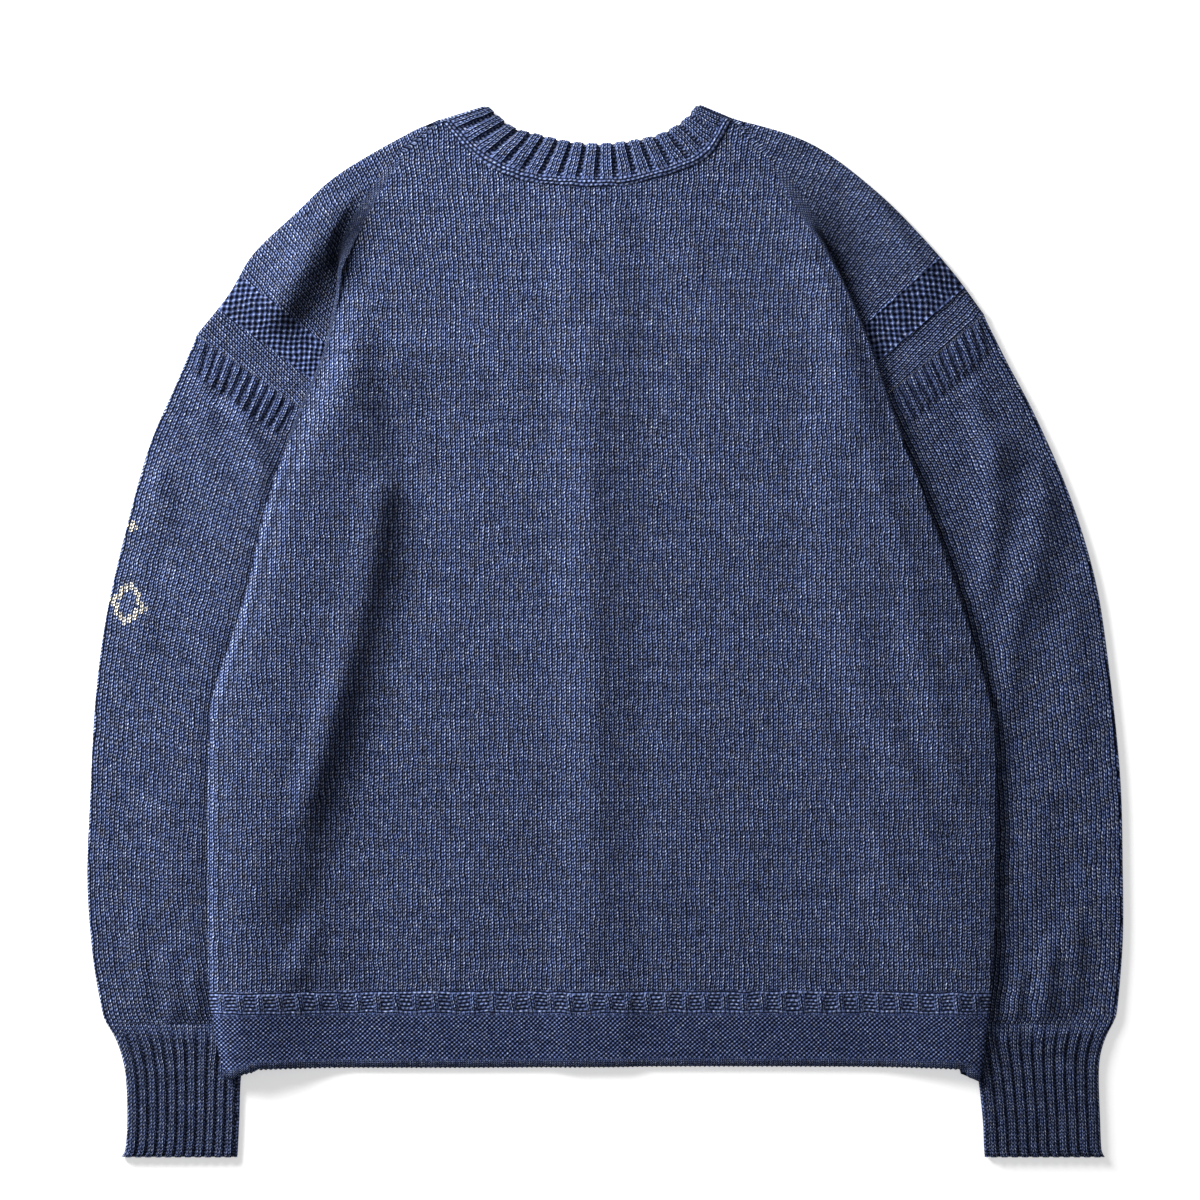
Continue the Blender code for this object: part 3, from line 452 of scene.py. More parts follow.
def body_edge_at(side: Side, heights: Array) -> Array:
    """The points of the body's edge on one side at these heights."""
    line = body_edge(side)[::-1]
    return np.column_stack([np.interp(heights, line[:, 1], line[:, 0]), heights])


def far_from_line(points: Array, line: Array) -> Array:
    """How far each point is from a line in plan: the least distance to any of its straight pieces.

    Args:
        points: Points whose last axis is across and height.
        line: The line's points.

    Returns:
        The distances.
    """
    flat = points.reshape(-1, 2)
    best = np.full(len(flat), 1e9)
    for start, end in zip(line[:-1], line[1:]):
        step = end - start
        share = np.clip((flat - start) @ step / (step @ step), 0, 1)
        best = np.minimum(best, np.linalg.norm(flat - start - share[:, None] * step, axis=1))
    return best.reshape(points.shape[:-1])


def soft_folds(points: Array, table: FoldTable) -> Array:
    """The rise of soft folds: each is a bell curve of the distance from its line, and dies away past the
    line's ends.

    Args:
        points: Points whose last axis is across and height.
        table: The folds.

    Returns:
        The rise at each point.
    """
    total = np.zeros(points.shape[:-1])
    for across, height, to_across, to_height, breadth, rise in table:
        start = np.array((across, height), float)
        step = np.array((to_across, to_height), float) - start
        share = ((points - start) @ step) / (step @ step)
        away = np.linalg.norm(points - start - np.clip(share, 0, 1)[..., None] * step, axis=-1)
        total += rise * bell(away, breadth) * smooth(-0.25, 0.25, share) * smooth(1.25, 0.75, share)
    return total


def edge_fall(points: Array, *lines: Array) -> Array:
    """How far the outer face falls towards the nearest of some edges: a quarter of an ellipse, from nothing
    at the cloth's round-over width to the whole drop at the edge.

    Args:
        points: Points in plan.
        lines: The edges.

    Returns:
        The fall at each point.
    """
    away = np.min([far_from_line(points, line) for line in lines], axis=0)
    inward = np.clip(1 - away / CLOTH.edge_round, 0, 1)
    return CLOTH.edge_drop * (1 - np.sqrt(1 - inward**2))


def inner_fold(side: Side, height: Array) -> Array:
    """Where across the inner fold of the sleeve and its cuff lies at a height."""
    rows = np.array([*SLEEVE_ENDS[side], *CUFF_ENDS[side][1:]], float)[::-1]
    return np.interp(height, rows[:, 4], rows[:, 3])


def side_lift(points: Array) -> Array:
    """How far the body stands above its level over the sleeves: a soft step across the sleeve's inner fold,
    which grows longer towards the hem.

    Args:
        points: Points in plan.

    Returns:
        The lift at each point.
    """
    foot = CLOTH.slope_end + CLOTH.hem_slope * smooth(-150, -250, points[..., 1])
    lift = np.zeros(points.shape[:-1])
    for side in Side:
        past = side.value * (inner_fold(side, points[..., 1]) - points[..., 0])
        lift = np.maximum(lift, smooth(0, 1, (foot - past) / (foot - CLOTH.slope_start)))
    return CLOTH.side_lift * lift


def side_bulge(plan: Array) -> Array:
    """How far the body swells beside its two edges, in rows from the left edge to the right one: a steep soft
    step up from the edge and a long soft step down, higher on the left.

    Args:
        plan: Points in plan, by rows.

    Returns:
        The height at each point.
    """
    total = np.zeros(plan.shape[:-1])
    for side, rise in BULGE_RISE.items():
        inward = np.abs(plan[..., 0] - plan[:, [side.end], 0])
        total += rise * smooth(0, BULGE_CREST, inward) * smooth(BULGE_END, BULGE_CREST, inward)
    return total


def opening_lift(points: Array) -> Array:
    """How far the back stands above its level over the button bands: a soft step down on each side, which
    fades away below the neck.

    Args:
        points: Points in plan.

    Returns:
        The lift at each point.
    """
    across = np.abs(points[..., 0] - OPENING_MIDDLE)
    share = smooth(RIDGE_HALF + RIDGE_SLOPE, RIDGE_HALF, across)
    return (CLOTH.thick + CLOTH.gap) * share * smooth(*OPENING_FADE, points[..., 1])


def back_level(plan: Array) -> Array:
    """The middle of the back over what lies beneath it, with the swell beside its edges."""
    return CLOTH.high + side_lift(plan) + opening_lift(plan) + side_bulge(plan)


def front_level(plan: Array, side: Side) -> Array:
    """The middle of a front, without the lift over its sleeve: beside the opening the right one climbs with
    a soft step to the upper button band.

    Args:
        plan: Points in plan.
        side: Which front.

    Returns:
        The height at each point.
    """
    edge = OPENING_MIDDLE + BAND_WIDTH / 2
    climb = smooth(edge + BAND_CLIMB, edge + 3, plan[..., 0]) * (side is Side.RIGHT)
    return CLOTH.low + (CLOTH.thick + CLOTH.gap) * climb


def front_edge(side: Side) -> float:
    """Where across a front ends, beside the button bands."""
    return OPENING_MIDDLE + side.value * (BAND_WIDTH / 2 + CLOTH.seam)


def bend_to_hem(plan: Array) -> Array:
    """Moves the straight rows of a welt more and more, so that the last one lies on the hem's line.

    Args:
        plan: The rows in plan.

    Returns:
        The moved rows.
    """
    hem = curve(HEM_HEIGHTS)
    share = smooth(0.25, 1.0, np.linspace(0, 1, len(plan)))[:, None]
    bend = share * (np.interp(plan[..., 0], hem[:, 0], hem[:, 1]) - plan[-1:, :, 1])
    return np.dstack([plan[..., 0], plan[..., 1] + bend])


@dataclass
class KnitGrid:
    """A grid of knitting, by rows and columns: where its outer and its inner face lie, its stitches, how much
    of it is moss stitch and how much is purl, and the shade painted into its colour: a factor below 1 where
    shade is painted and above 1 where highlights are painted."""

    outer: Array
    inner: Array
    stitches: Array
    moss: Array | float = 0.0
    purl: Array | float = 0.0
    shade: Array | float = 1.0

    def quads(self, start: int) -> Array:
        """The corners of its faces, numbered from start and turned so that they face out.

        Args:
            start: The number of the grid's first point.

        Returns:
            One face a row.
        """
        number = start + np.arange(self.outer[..., 0].size).reshape(self.outer.shape[:2])
        faces = np.stack([number[:-1, :-1], number[:-1, 1:], number[1:, 1:], number[1:, :-1]], axis=-1)
        over = self.outer[:-1, 1:] - self.outer[:-1, :-1]
        down = self.outer[1:, :-1] - self.outer[:-1, :-1]
        facing = (np.cross(over, down) * (self.outer - self.inner)[:-1, :-1]).sum()
        faces = faces.reshape(-1, 4)
        return faces if facing > 0 else faces[:, ::-1]

    def mask(self, name: str) -> Array:
        """A mask spread over the whole grid, as one long row."""
        return np.broadcast_to(getattr(self, name), self.outer.shape[:2]).ravel()


def straight_stitches(plan: Array) -> Array:
    """Stitches whose wales run straight up and whose courses run straight across."""
    return plan / (CLOTH.wale, CLOTH.course)


def flat_grid(
    plan: Array, middle: Array, facing: int, stitches: Array, rise: Array | float = 0.0, **masks: Array
) -> KnitGrid:
    """A grid of cloth that faces up or down: its faces lie half the cloth's thickness above and below the
    middle, and the outer one is moved by the rise.

    Args:
        plan: The points in plan.
        middle: The height of the cloth's middle.
        facing: 1 where the outer face is up, -1 where it is down.
        stitches: The stitch coordinates.
        rise: How far the outer face stands out.
        masks: Where it is moss or purl, and the shade and highlights painted into its colour.

    Returns:
        The grid.
    """
    outer = np.dstack([plan, middle + facing * (CLOTH.half + rise)])
    inner = np.dstack([plan, middle - facing * CLOTH.half])
    return KnitGrid(outer, inner, stitches, **masks)


def put_in_scene(name: str, data: bpy.types.ID) -> bpy.types.Object:
    """A new object for a mesh, a light or a camera, in the scene.

    Args:
        name: Its name.
        data: Its mesh, light or camera.

    Returns:
        The object.
    """
    piece = bpy.data.objects.new(name, data)
    bpy.context.scene.collection.objects.link(piece)
    return piece


def settle(
    mesh: bpy.types.Mesh, finish: bpy.types.Material, crease: float, node: str
) -> bpy.types.Object:
    """Makes a mesh one piece of the garment, which rides on its body and stands for its solid.

    Args:
        mesh: The mesh, which gives the piece its name.
        finish: Its material.
        crease: The angle in degrees past which an edge stays sharp.
        node: The solid's node.

    Returns:
        The piece.
    """
    mesh.validate(clean_customdata=False)
    mesh.shade_smooth()
    mesh.set_sharp_from_angle(angle=math.radians(crease))
    mesh.materials.append(finish)
    piece = put_in_scene(mesh.name, mesh)
    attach(piece, "root")
    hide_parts(node)
    return piece


def edges_of(faces: Array) -> Array:
    """The two ends of every edge of some four-sided faces."""
    return np.concatenate([np.stack([faces[:, k], faces[:, (k + 1) % 4]], axis=1) for k in range(4)])


def knit_wall(node: str, grids: list[KnitGrid], finish: bpy.types.Material) -> bpy.types.Object:
    """One closed wall of knitting. The grids join where their points are the same, the inner face repeats the
    outer one turned round, and each edge that one face alone has is closed with a rim.

    Args:
        node: The solid's node, which names the piece.
        grids: Its grids.
        finish: Its material.

    Returns:
        The piece.
    """
    starts = np.cumsum([0] + [grid.outer[..., 0].size for grid in grids])
    corners = np.vstack([grid.quads(start) for grid, start in zip(grids, starts)])
    outer = np.vstack([grid.outer.reshape(-1, 3) for grid in grids])
    inner = np.vstack([grid.inner.reshape(-1, 3) for grid in grids])
    stitches = np.vstack([grid.stitches.reshape(-1, 2) for grid in grids])
    both = np.round(np.hstack([outer, inner]), 2)
    _, first, number = np.unique(both, axis=0, return_index=True, return_inverse=True)
    faces, count = number.ravel()[corners], len(first)

    ends = edges_of(faces)
    keys = ends.min(axis=1) * count + ends.max(axis=1)
    _, back_to, uses = np.unique(keys, return_inverse=True, return_counts=True)
    lone = (uses[back_to.ravel()] == 1) & (ends[:, 0] != ends[:, 1])
    a, b = ends[lone].T
    rim = np.stack([b, a, a + count, b + count], axis=1)
    rim_corners = edges_of(corners)[lone][:, [1, 0, 0, 1]]

    mesh = bpy.data.meshes.new(f"{node}_knit")
    points = np.vstack([outer[first], inner[first]]) * MM
    mesh.from_pydata(points.tolist(), [], np.vstack([faces, faces[:, ::-1] + count, rim]).tolist())
    layer = mesh.uv_layers.new(name="stitches")
    all_corners = np.vstack([corners, corners[:, ::-1], rim_corners])
    layer.uv.foreach_set("vector", stitches[all_corners.ravel()].ravel())
    # The shade mask carries the painted shade and highlights
    for mask in ("moss", "purl", "shade"):
        values = np.concatenate([grid.mask(mask) for grid in grids])[first]
        attribute = mesh.attributes.new(mask, "FLOAT", "POINT")
        attribute.data.foreach_set("value", np.tile(values, 2).astype(np.float32))
    return settle(mesh, finish, 60.0, node)


@dataclass(frozen=True)
class Cut:
    """The flat cut of one piece of cloth, all round on a tube, in metres, and what the piece lies on."""

    width: float
    length: float
    area: float
    under: tuple[str, ...] = ()

    def declare(self, piece: bpy.types.Object) -> None:
        """Meant to say that the piece is a sheet of this cut, laid on what is under it; it does nothing."""


SLEEVES = ("sleeve_left", "sleeve_right")
FRONTS = ("front_left", "front_right")
CUTS = {
    "back": Cut(0.640, 0.655, 0.3550, (*SLEEVES, *FRONTS)),
    "back_welt": Cut(0.585, 0.067, 0.0340, ("front_welt_left", "front_welt_right")),
    "neckband": Cut(0.034, 0.530, 0.0172, FRONTS),
    "sleeve_left": Cut(0.410, 0.500, 0.1680),
    "sleeve_right": Cut(0.420, 0.505, 0.1730),
    "cuff_left": Cut(0.215, 0.101, 0.0185),
    "cuff_right": Cut(0.218, 0.101, 0.0190),
    "front_left": Cut(0.285, 0.655, 0.1500, ("sleeve_left",)),
    "front_right": Cut(0.288, 0.655, 0.1540, ("sleeve_right",)),
    "front_welt_left": Cut(0.275, 0.066, 0.0160, ("cuff_left",)),
    "front_welt_right": Cut(0.283, 0.068, 0.0164, ("cuff_right",)),
    "button_band_left": Cut(0.032, 0.640, 0.0205),
    "button_band_right": Cut(0.032, 0.640, 0.0205, ("button_band_left",)),
}

Socket = bpy.types.NodeSocket | float | tuple


class Tree:
    """A material's node tree, with short calls for its nodes."""

    def __init__(self, name: str) -> None:
        """Starts an empty material of that name."""
        self.material = bpy.data.materials.new(name)
        self.material.use_nodes = True
        self.shader = self.material.node_tree.nodes["Principled BSDF"]

    def feed(self, socket: bpy.types.NodeSocket, value: Socket) -> None:
        """Links a value to a socket, or sets it there.

        Args:
            socket: The input.
            value: An output, or a number or colour.
        """
        if isinstance(value, bpy.types.NodeSocket):
            self.material.node_tree.links.new(value, socket)
        else:
            socket.default_value = value

    def node(
        self, kind: str, inputs: dict[int | str, Socket], output: int | str = 0, **settings: str
    ) -> Socket:
        """The output of a new node.

        Args:
            kind: The node's type, without the word that all of them start with.
            inputs: What goes into its inputs.
            output: Which output.
            settings: Its other settings.

        Returns:
            The output.
        """
        node = self.material.node_tree.nodes.new(f"ShaderNode{kind}")
        for name, value in settings.items():
            setattr(node, name, value)
        for key, value in inputs.items():
            self.feed(node.inputs[key], value)
        return node.outputs[output]

    def math(self, operation: str, *values: Socket) -> Socket:
        """The result of a maths node."""
        return self.node("Math", dict(enumerate(values)), operation=operation)

    def times(self, first: Socket, second: Socket) -> Socket:
        """One number times another."""
        return self.math("MULTIPLY", first, second)

    def sine(self, value: Socket) -> Socket:
        """The sine of pi times a value."""
        return self.math("SINE", self.times(value, math.pi))

    def scaled(self, value: Socket, low: float, high: float) -> Socket:
        """Low where a value is 0 and high where it is 1, in a straight line."""
        return self.math("MULTIPLY_ADD", value, high - low, low)

    def away(self, value: Socket, middle: float) -> Socket:
        """How far a value is from a middle."""
        return self.math("ABSOLUTE", self.math("SUBTRACT", value, middle))

    def step(self, value: Socket, start: float, end: float) -> Socket:
        """A soft step of a value: 0 at start and 1 at end.

        Args:
            value: The value.
            start: Where it is still 0.
            end: Where it is 1.

        Returns:
            The step.
        """
        low, high, rising = min(start, end), max(start, end), start < end
        inputs = {"Value": value, "From Min": low, "From Max": high}
        inputs |= {"To Min": 0.0 if rising else 1.0, "To Max": 1.0 if rising else 0.0}
        return self.node("MapRange", inputs, interpolation_type="SMOOTHSTEP", clamp=True)

    def blend(self, share: Socket, first: Socket, second: Socket) -> Socket:
        """The first number where the share is 0 and the second where it is 1."""
        return self.node("Mix", {0: share, 2: first, 3: second}, data_type="FLOAT")

    def mix(self, share: Socket, first: Socket, second: Socket) -> Socket:
        """The first colour where the share is 0 and the second where it is 1."""
        return self.node("Mix", {0: share, 6: first, 7: second}, 2, data_type="RGBA")

    def brighten(self, colour: Socket, value: Socket) -> Socket:
        """A colour times a number."""
        return self.node("VectorMath", {0: colour, "Scale": value}, operation="SCALE")

    def tint(self, colour: Socket, other: Socket) -> Socket:
        """One colour times another."""
        return self.node("VectorMath", {0: colour, 1: other}, operation="MULTIPLY")

    def noise(self, vector: Socket, scale: float, detail: float = 2.0) -> Socket:
        """Soft noise from 0 to 1 with so many bumps in one unit and so many finer layers."""
        return self.node("TexNoise", {"Vector": vector, "Scale": scale, "Detail": detail})

    def pair(self, first: Socket, second: Socket) -> Socket:
        """Two numbers as a vector."""
        return self.node("CombineXYZ", {0: first, 1: second})

    def grain(self, across: Socket, course: Socket) -> Socket:
        """A number from 0 to 1 that differs from one whole pair of numbers to the next."""
        whole = self.pair(self.math("FLOOR", across), self.math("FLOOR", course))
        return self.node("TexWhiteNoise", {"Vector": whole}, noise_dimensions="2D")

    def attribute(self, name: str) -> Socket:
        """A number that the mesh carries."""
        return self.node("Attribute", {}, "Fac", attribute_name=name)

    def place(self) -> Socket:
        """The place on the object, in metres."""
        return self.node("TexCoord", {}, "Object")

    def bump(self, height: Socket, distance: float, strength: float) -> None:
        """Lets a height disturb the shader's normal."""
        bump = self.node("Bump", {"Strength": strength, "Distance": distance, "Height": height})
        self.feed(self.shader.inputs["Normal"], bump)


@dataclass(frozen=True)
class Diamond:
    """A small diamond of cream stitches, counted in stitches from the sleeve's outer fold and its head."""

    wale: int
    course: int
    reach: int
    hollow: int


@dataclass(frozen=True)
class BlueWool:
    """The heathered blue yarn, knitted in plain, purl and moss stitch."""

    body: tuple = (0.0545, 0.0725, 0.138, 1.0)
    pale: tuple = (0.178, 0.205, 0.262, 1.0)
    navy: tuple = (0.018, 0.026, 0.068, 1.0)
    brown: tuple = (0.082, 0.080, 0.090, 1.0)
    cream: tuple = (0.42, 0.38, 0.30, 1.0)
    # Tints for the painted shade in the gaps between loops and the painted highlight on their crests
    deep: tuple = (0.50, 0.72, 1.40, 1.0)
    painted_highlight_tint: tuple = (1.22, 1.12, 0.86, 1.0)
    # How dark the painted shade in the gaps is, and how bright the painted highlight on the crests
    gap_shade: float = 0.03
    crest_shade: float = 5.3
    bump: float = 0.0021
    wander: float = 0.45
    fleck_share: float = 0.08
    on_object: bool = False
    diamonds: tuple[Diamond, ...] = ()

    def plain(self, tree: Tree, across: Socket, course: Socket) -> Socket:
        """The height of plain stitch: two legs a wale, each a sine across, that rise outwards as a V and,
        with the yarn's twist, a little to the right. The right leg is the lower one.

        Args:
            tree: The node tree.
            across: The place in wales.
            course: The place in courses.

        Returns:
            The height, from 0 to 1.
        """
        part = tree.math("FRACT", across)
        out = tree.times(tree.away(part, 0.5), 2.0)
        leg = tree.math("POWER", tree.math("MAXIMUM", tree.sine(tree.scaled(out, 0.16, 1.0)), 0.0), 1.25)
        skew = tree.math("MULTIPLY_ADD", part, 0.65, tree.times(out, 0.4))
        strand = tree.sine(tree.math("FRACT", tree.math("SUBTRACT", course, skew)))
        legs = tree.times(leg, tree.scaled(strand, 0.26, 1.0))
        return tree.times(legs, tree.scaled(tree.step(part, 0.45, 0.55), 0.72, 1.0))

    def purl(self, tree: Tree, across: Socket, course: Socket) -> Socket:
        """The height of purl: a row of low dashes a course, moved half a wale from one course to the next.

        Args:
            tree: The node tree.
            across: The place in wales.
            course: The place in courses.

        Returns:
            The height, from 0 to 1.
        """
        dash = tree.sine(tree.math("FRACT", course))
        moved = tree.math("FRACT", tree.math("MULTIPLY_ADD", tree.math("FLOOR", course), 0.5, across))
        return tree.times(tree.scaled(tree.sine(moved), 0.35, 0.85), tree.scaled(dash, 0.1, 1.0))

    def moss(self, tree: Tree, across: Socket, course: Socket) -> Socket:
        """The height of moss stitch: the product of two sines, raised so that its bumps, which stand as on a
        chess board, just meet.

        Args:
            tree: The node tree.
            across: The place in wales.
            course: The place in courses.

        Returns:
            The height, from 0 to 1.
        """
        chess = tree.times(tree.sine(across), tree.sine(course))
        return tree.math("MAXIMUM", tree.scaled(chess, 0.37, 0.79), 0.0)

    def diamond_share(self, tree: Tree, across: Socket, course: Socket) -> Socket:
        """1 on the stitches of the diamonds: those whose wales and courses away from the middle add up to at
        most the reach and at least the hollow.

        Args:
            tree: The node tree.
            across: The place in wales.
            course: The place in courses.

        Returns:
            The share of cream.
        """
        total: Socket = 0.0
        for diamond in self.diamonds:
            wales = tree.away(tree.math("FLOOR", across), float(diamond.wale))
            courses = tree.away(tree.math("FLOOR", course), float(diamond.course))
            away = tree.math("ADD", wales, tree.times(courses, CLOTH.course / CLOTH.wale))
            inside = tree.math("LESS_THAN", away, diamond.reach + 0.5)
            outside = tree.math("GREATER_THAN", away, diamond.hollow - 0.5)
            total = tree.math("MAXIMUM", total, tree.times(inside, outside))
        return total

    def yarn_colour(self, tree: Tree, across: Socket, course: Socket, heather: Socket) -> Socket:
        """The yarn's own colour: blue with pale, navy and brown flecks, streaks along the courses, a shade of
        its own for each stitch, and slow clouds.

        Args:
            tree: The node tree.
            across: The place in wales.
            course: The place in courses.
            heather: Fine noise.

        Returns:
            The colour.
        """
        blue: Socket = self.body
        for limit, colour in ((0.70, self.pale), (0.30, self.navy)):
            blue = tree.mix(tree.times(tree.step(heather, 0.50, limit), 0.6), blue, colour)
        fleck = tree.grain(tree.times(across, 0.7), tree.math("ADD", course, 31.0))
        fleck = tree.math("GREATER_THAN", fleck, 1 - self.fleck_share)
        blue = tree.mix(tree.times(fleck, 0.35), blue, self.brown)
        if self.diamonds:
            blue = tree.mix(self.diamond_share(tree, across, course), blue, self.cream)
        streaks = []
        for wide, tall in ((0.14, 0.9), (0.04, 0.33)):
            streaks.append(tree.noise(tree.pair(tree.times(across, wide), tree.times(course, tall)), 1.0))
        streak = tree.times(tree.math("ADD", *streaks), 0.5)
        own = tree.grain(tree.times(across, 2.0), course)
        tone = tree.times(tree.scaled(streak, 0.3, 1.7), tree.scaled(own, 0.62, 1.38))
        return tree.brighten(blue, tree.times(tone, tree.scaled(tree.noise(tree.place(), 18.0), 0.92, 1.08)))

    def stitch_place(self, tree: Tree) -> tuple[Socket, Socket]:
        """The place in wales and in courses, which wanders a little as hand-made loops do. It comes from the
        piece's own UV map, or from the object where there is none.

        Args:
            tree: The node tree.

        Returns:
            Both places.
        """
        source = tree.place() if self.on_object else tree.node("UVMap", {}, uv_map="stitches")
        across, course = tree.node("SeparateXYZ", {0: source}).node.outputs[:2]
        if self.on_object:
            across = tree.times(across, 1 / MM / CLOTH.wale)
            course = tree.times(course, 1 / MM / CLOTH.course)
        for_wales, for_courses = (tree.noise(tree.place(), scale, 1.0) for scale in (90.0, 50.0))
        across = tree.math("ADD", across, tree.scaled(for_wales, -self.wander, self.wander))
        course = tree.math("ADD", course, tree.scaled(for_courses, -2 * self.wander, 2 * self.wander))
        return across, course

    def material(self, name: str) -> bpy.types.Material:
        """The finish as a material, with light and shade painted in: the colour darkens with the square of
        the depth between its loops as painted shade, tinted bluer there, and is painted paler on top as a
        highlight.

        Args:
            name: The material's name.

        Returns:
            The material.
        """
        tree = Tree(name)
        across, course = self.stitch_place(tree)
        plain, purl, moss = (stitch(tree, across, course) for stitch in (self.plain, self.purl, self.moss))
        height = tree.blend(tree.attribute("purl"), plain, purl)
        height = tree.blend(tree.attribute("moss"), height, moss)
        heather = tree.noise(tree.place(), 700.0)
        # Painted shade in the gaps between loops and painted highlight on their crests
        shade = tree.scaled(tree.math("POWER", height, 2.0), self.gap_shade, self.crest_shade)
        # Times the painted shade and highlights that the mesh carries
        if not self.on_object:
            shade = tree.times(shade, tree.attribute("shade"))
        # Painted tints: bluer in the shaded gaps, paler on the highlighted crests
        painted_light_tint = tree.mix(height, self.deep, self.painted_highlight_tint)
        yarn = tree.tint(self.yarn_colour(tree, across, course, heather), painted_light_tint)
        tree.feed(tree.shader.inputs["Base Color"], tree.brighten(yarn, shade))
        tree.bump(tree.math("MULTIPLY_ADD", heather, 0.25, height), self.bump, 1.0)
        tree.shader.inputs["Roughness"].default_value = 0.92
        tree.shader.inputs["Specular IOR Level"].default_value = 0.06
        tree.shader.inputs["Sheen Weight"].default_value = 0.03
        tree.shader.inputs["Sheen Roughness"].default_value = 0.5
        tree.shader.inputs["Sheen Tint"].default_value = (0.45, 0.55, 0.90, 1.0)
        return tree.material


@dataclass(frozen=True)
class Horn:
    """Dark horn with pale clouds, polished."""

    dark: tuple = (0.045, 0.026, 0.016, 1.0)
    pale: tuple = (0.17, 0.105, 0.06, 1.0)

    def material(self) -> bpy.types.Material:
        """The finish as a material."""
        tree = Tree("horn")
        cloud = tree.noise(tree.place(), 130.0, 4.0)
        colour = tree.mix(tree.step(cloud, 0.42, 0.70), self.dark, self.pale)
        tree.feed(tree.shader.inputs["Base Color"], colour)
        tree.feed(tree.shader.inputs["Roughness"], tree.scaled(cloud, 0.22, 0.42))
        tree.bump(tree.noise(tree.place(), 900.0), 0.0001, 0.4)
        return tree.material


@dataclass
class TuckRows:
    """The rows of a tuck: where each starts in plan, how far it drops, the place across where its turn ends,
    and its outer and inner points."""

    start: Array
    drop: Array
    limit: Array
    outer: Array
    inner: Array

    @property
    def end(self) -> Array:
        """Where the cloth leaves the tuck in plan."""
        return (self.outer[:, -1, :2] + self.inner[:, -1, :2]) / 2


@dataclass
class Tuck:
    """The fold at one shoulder, where the back turns under itself and comes out again as the wing. At each
    share of its visible edge the cloth turns by an angle, runs back for a depth and turns up again."""

    side: Side
    least: float = 1.0
    top: float = 0.64
    fade: float = 0.80
    turn_steps: int = 7
    top_facing: tuple[float, float] = (0.91, -0.40)
    turns_out: tuple[float, float] = (0.55, 1.0)
    turn: float = CLOTH.side_lift / 4

    def frame(self, share: float) -> tuple[Array, Array, float, float]:
        """Where the tuck starts, which way it faces, how far it turns and how deep it goes.

        Args:
            share: The share of the tuck's edge, from the underarm.

        Returns:
            The edge's point, its facing in plan, the angle and the depth.
        """
        dense = curve(TUCK[self.side])
        edge = read_line(dense[:, 1:], dense[:, 0], share)
        to_underarm = dense[0, 1:] - np.array(UNDERARM[self.side], float)
        high = unit((self.side.value * self.top_facing[0], self.top_facing[1]))
        turn_out = smooth(*self.turns_out, share)
        facing = unit((1 - turn_out) * unit(to_underarm) + turn_out * high)
        angle = math.pi * float(smooth(self.fade, self.top, share))
        deepest = np.linalg.norm(to_underarm) - self.turn - CLOTH.half
        return edge, facing, angle, self.least + (deepest - self.least) * max(0.0, 1 - share / self.top)

    def profile(self, angle: float, depth: float) -> tuple[Array, Array, Array]:
        """The tuck in section: arcs of the turn's radius with a straight run between them, summed step by
        step along the cosine and the sine of the tilt.

        Args:
            angle: How far the cloth turns.
            depth: How long the straight run is.

        Returns:
            How far out, how far down and the tilt, from the body to the wing.
        """
        bend = np.linspace(0, angle, self.turn_steps)
        tilts = np.concatenate([bend, bend[::-1]])
        arc = np.full(self.turn_steps - 1, math.pi * self.turn / (self.turn_steps - 1))
        lengths = np.concatenate([arc, [depth], arc])
        middles = (tilts[1:] + tilts[:-1]) / 2
        out, down = (np.concatenate([[0], np.cumsum(lengths * way(middles))]) for way in (np.cos, np.sin))
        return out, down, tilts

    def rows(self, shares: Array) -> TuckRows:
        """The tuck at many shares of its edge.

        Args:
            shares: The shares, from the underarm to the top.

        Returns:
            One row a share.
        """
        found = []
        for share in shares:
            edge, facing, angle, depth = self.frame(float(share))
            out, down, tilts = self.profile(angle, depth)
            reach = out[: self.turn_steps].max() + CLOTH.half * math.sin(min(angle, math.pi / 2))
            start = edge - facing * reach if share < 1 else edge
            middle = np.column_stack([start + out[:, None] * facing, CLOTH.high + down[-1] - down])
            normal = np.column_stack([np.sin(tilts)[:, None] * facing, np.cos(tilts)]) * CLOTH.half
            folded_back = angle > 3
            limit = (start + out[self.turn_steps] * facing)[0] if folded_back else start[0]
            found.append((start, down[-1], limit, middle + normal, middle - normal))
        return TuckRows(*(np.array(column) for column in zip(*found)))


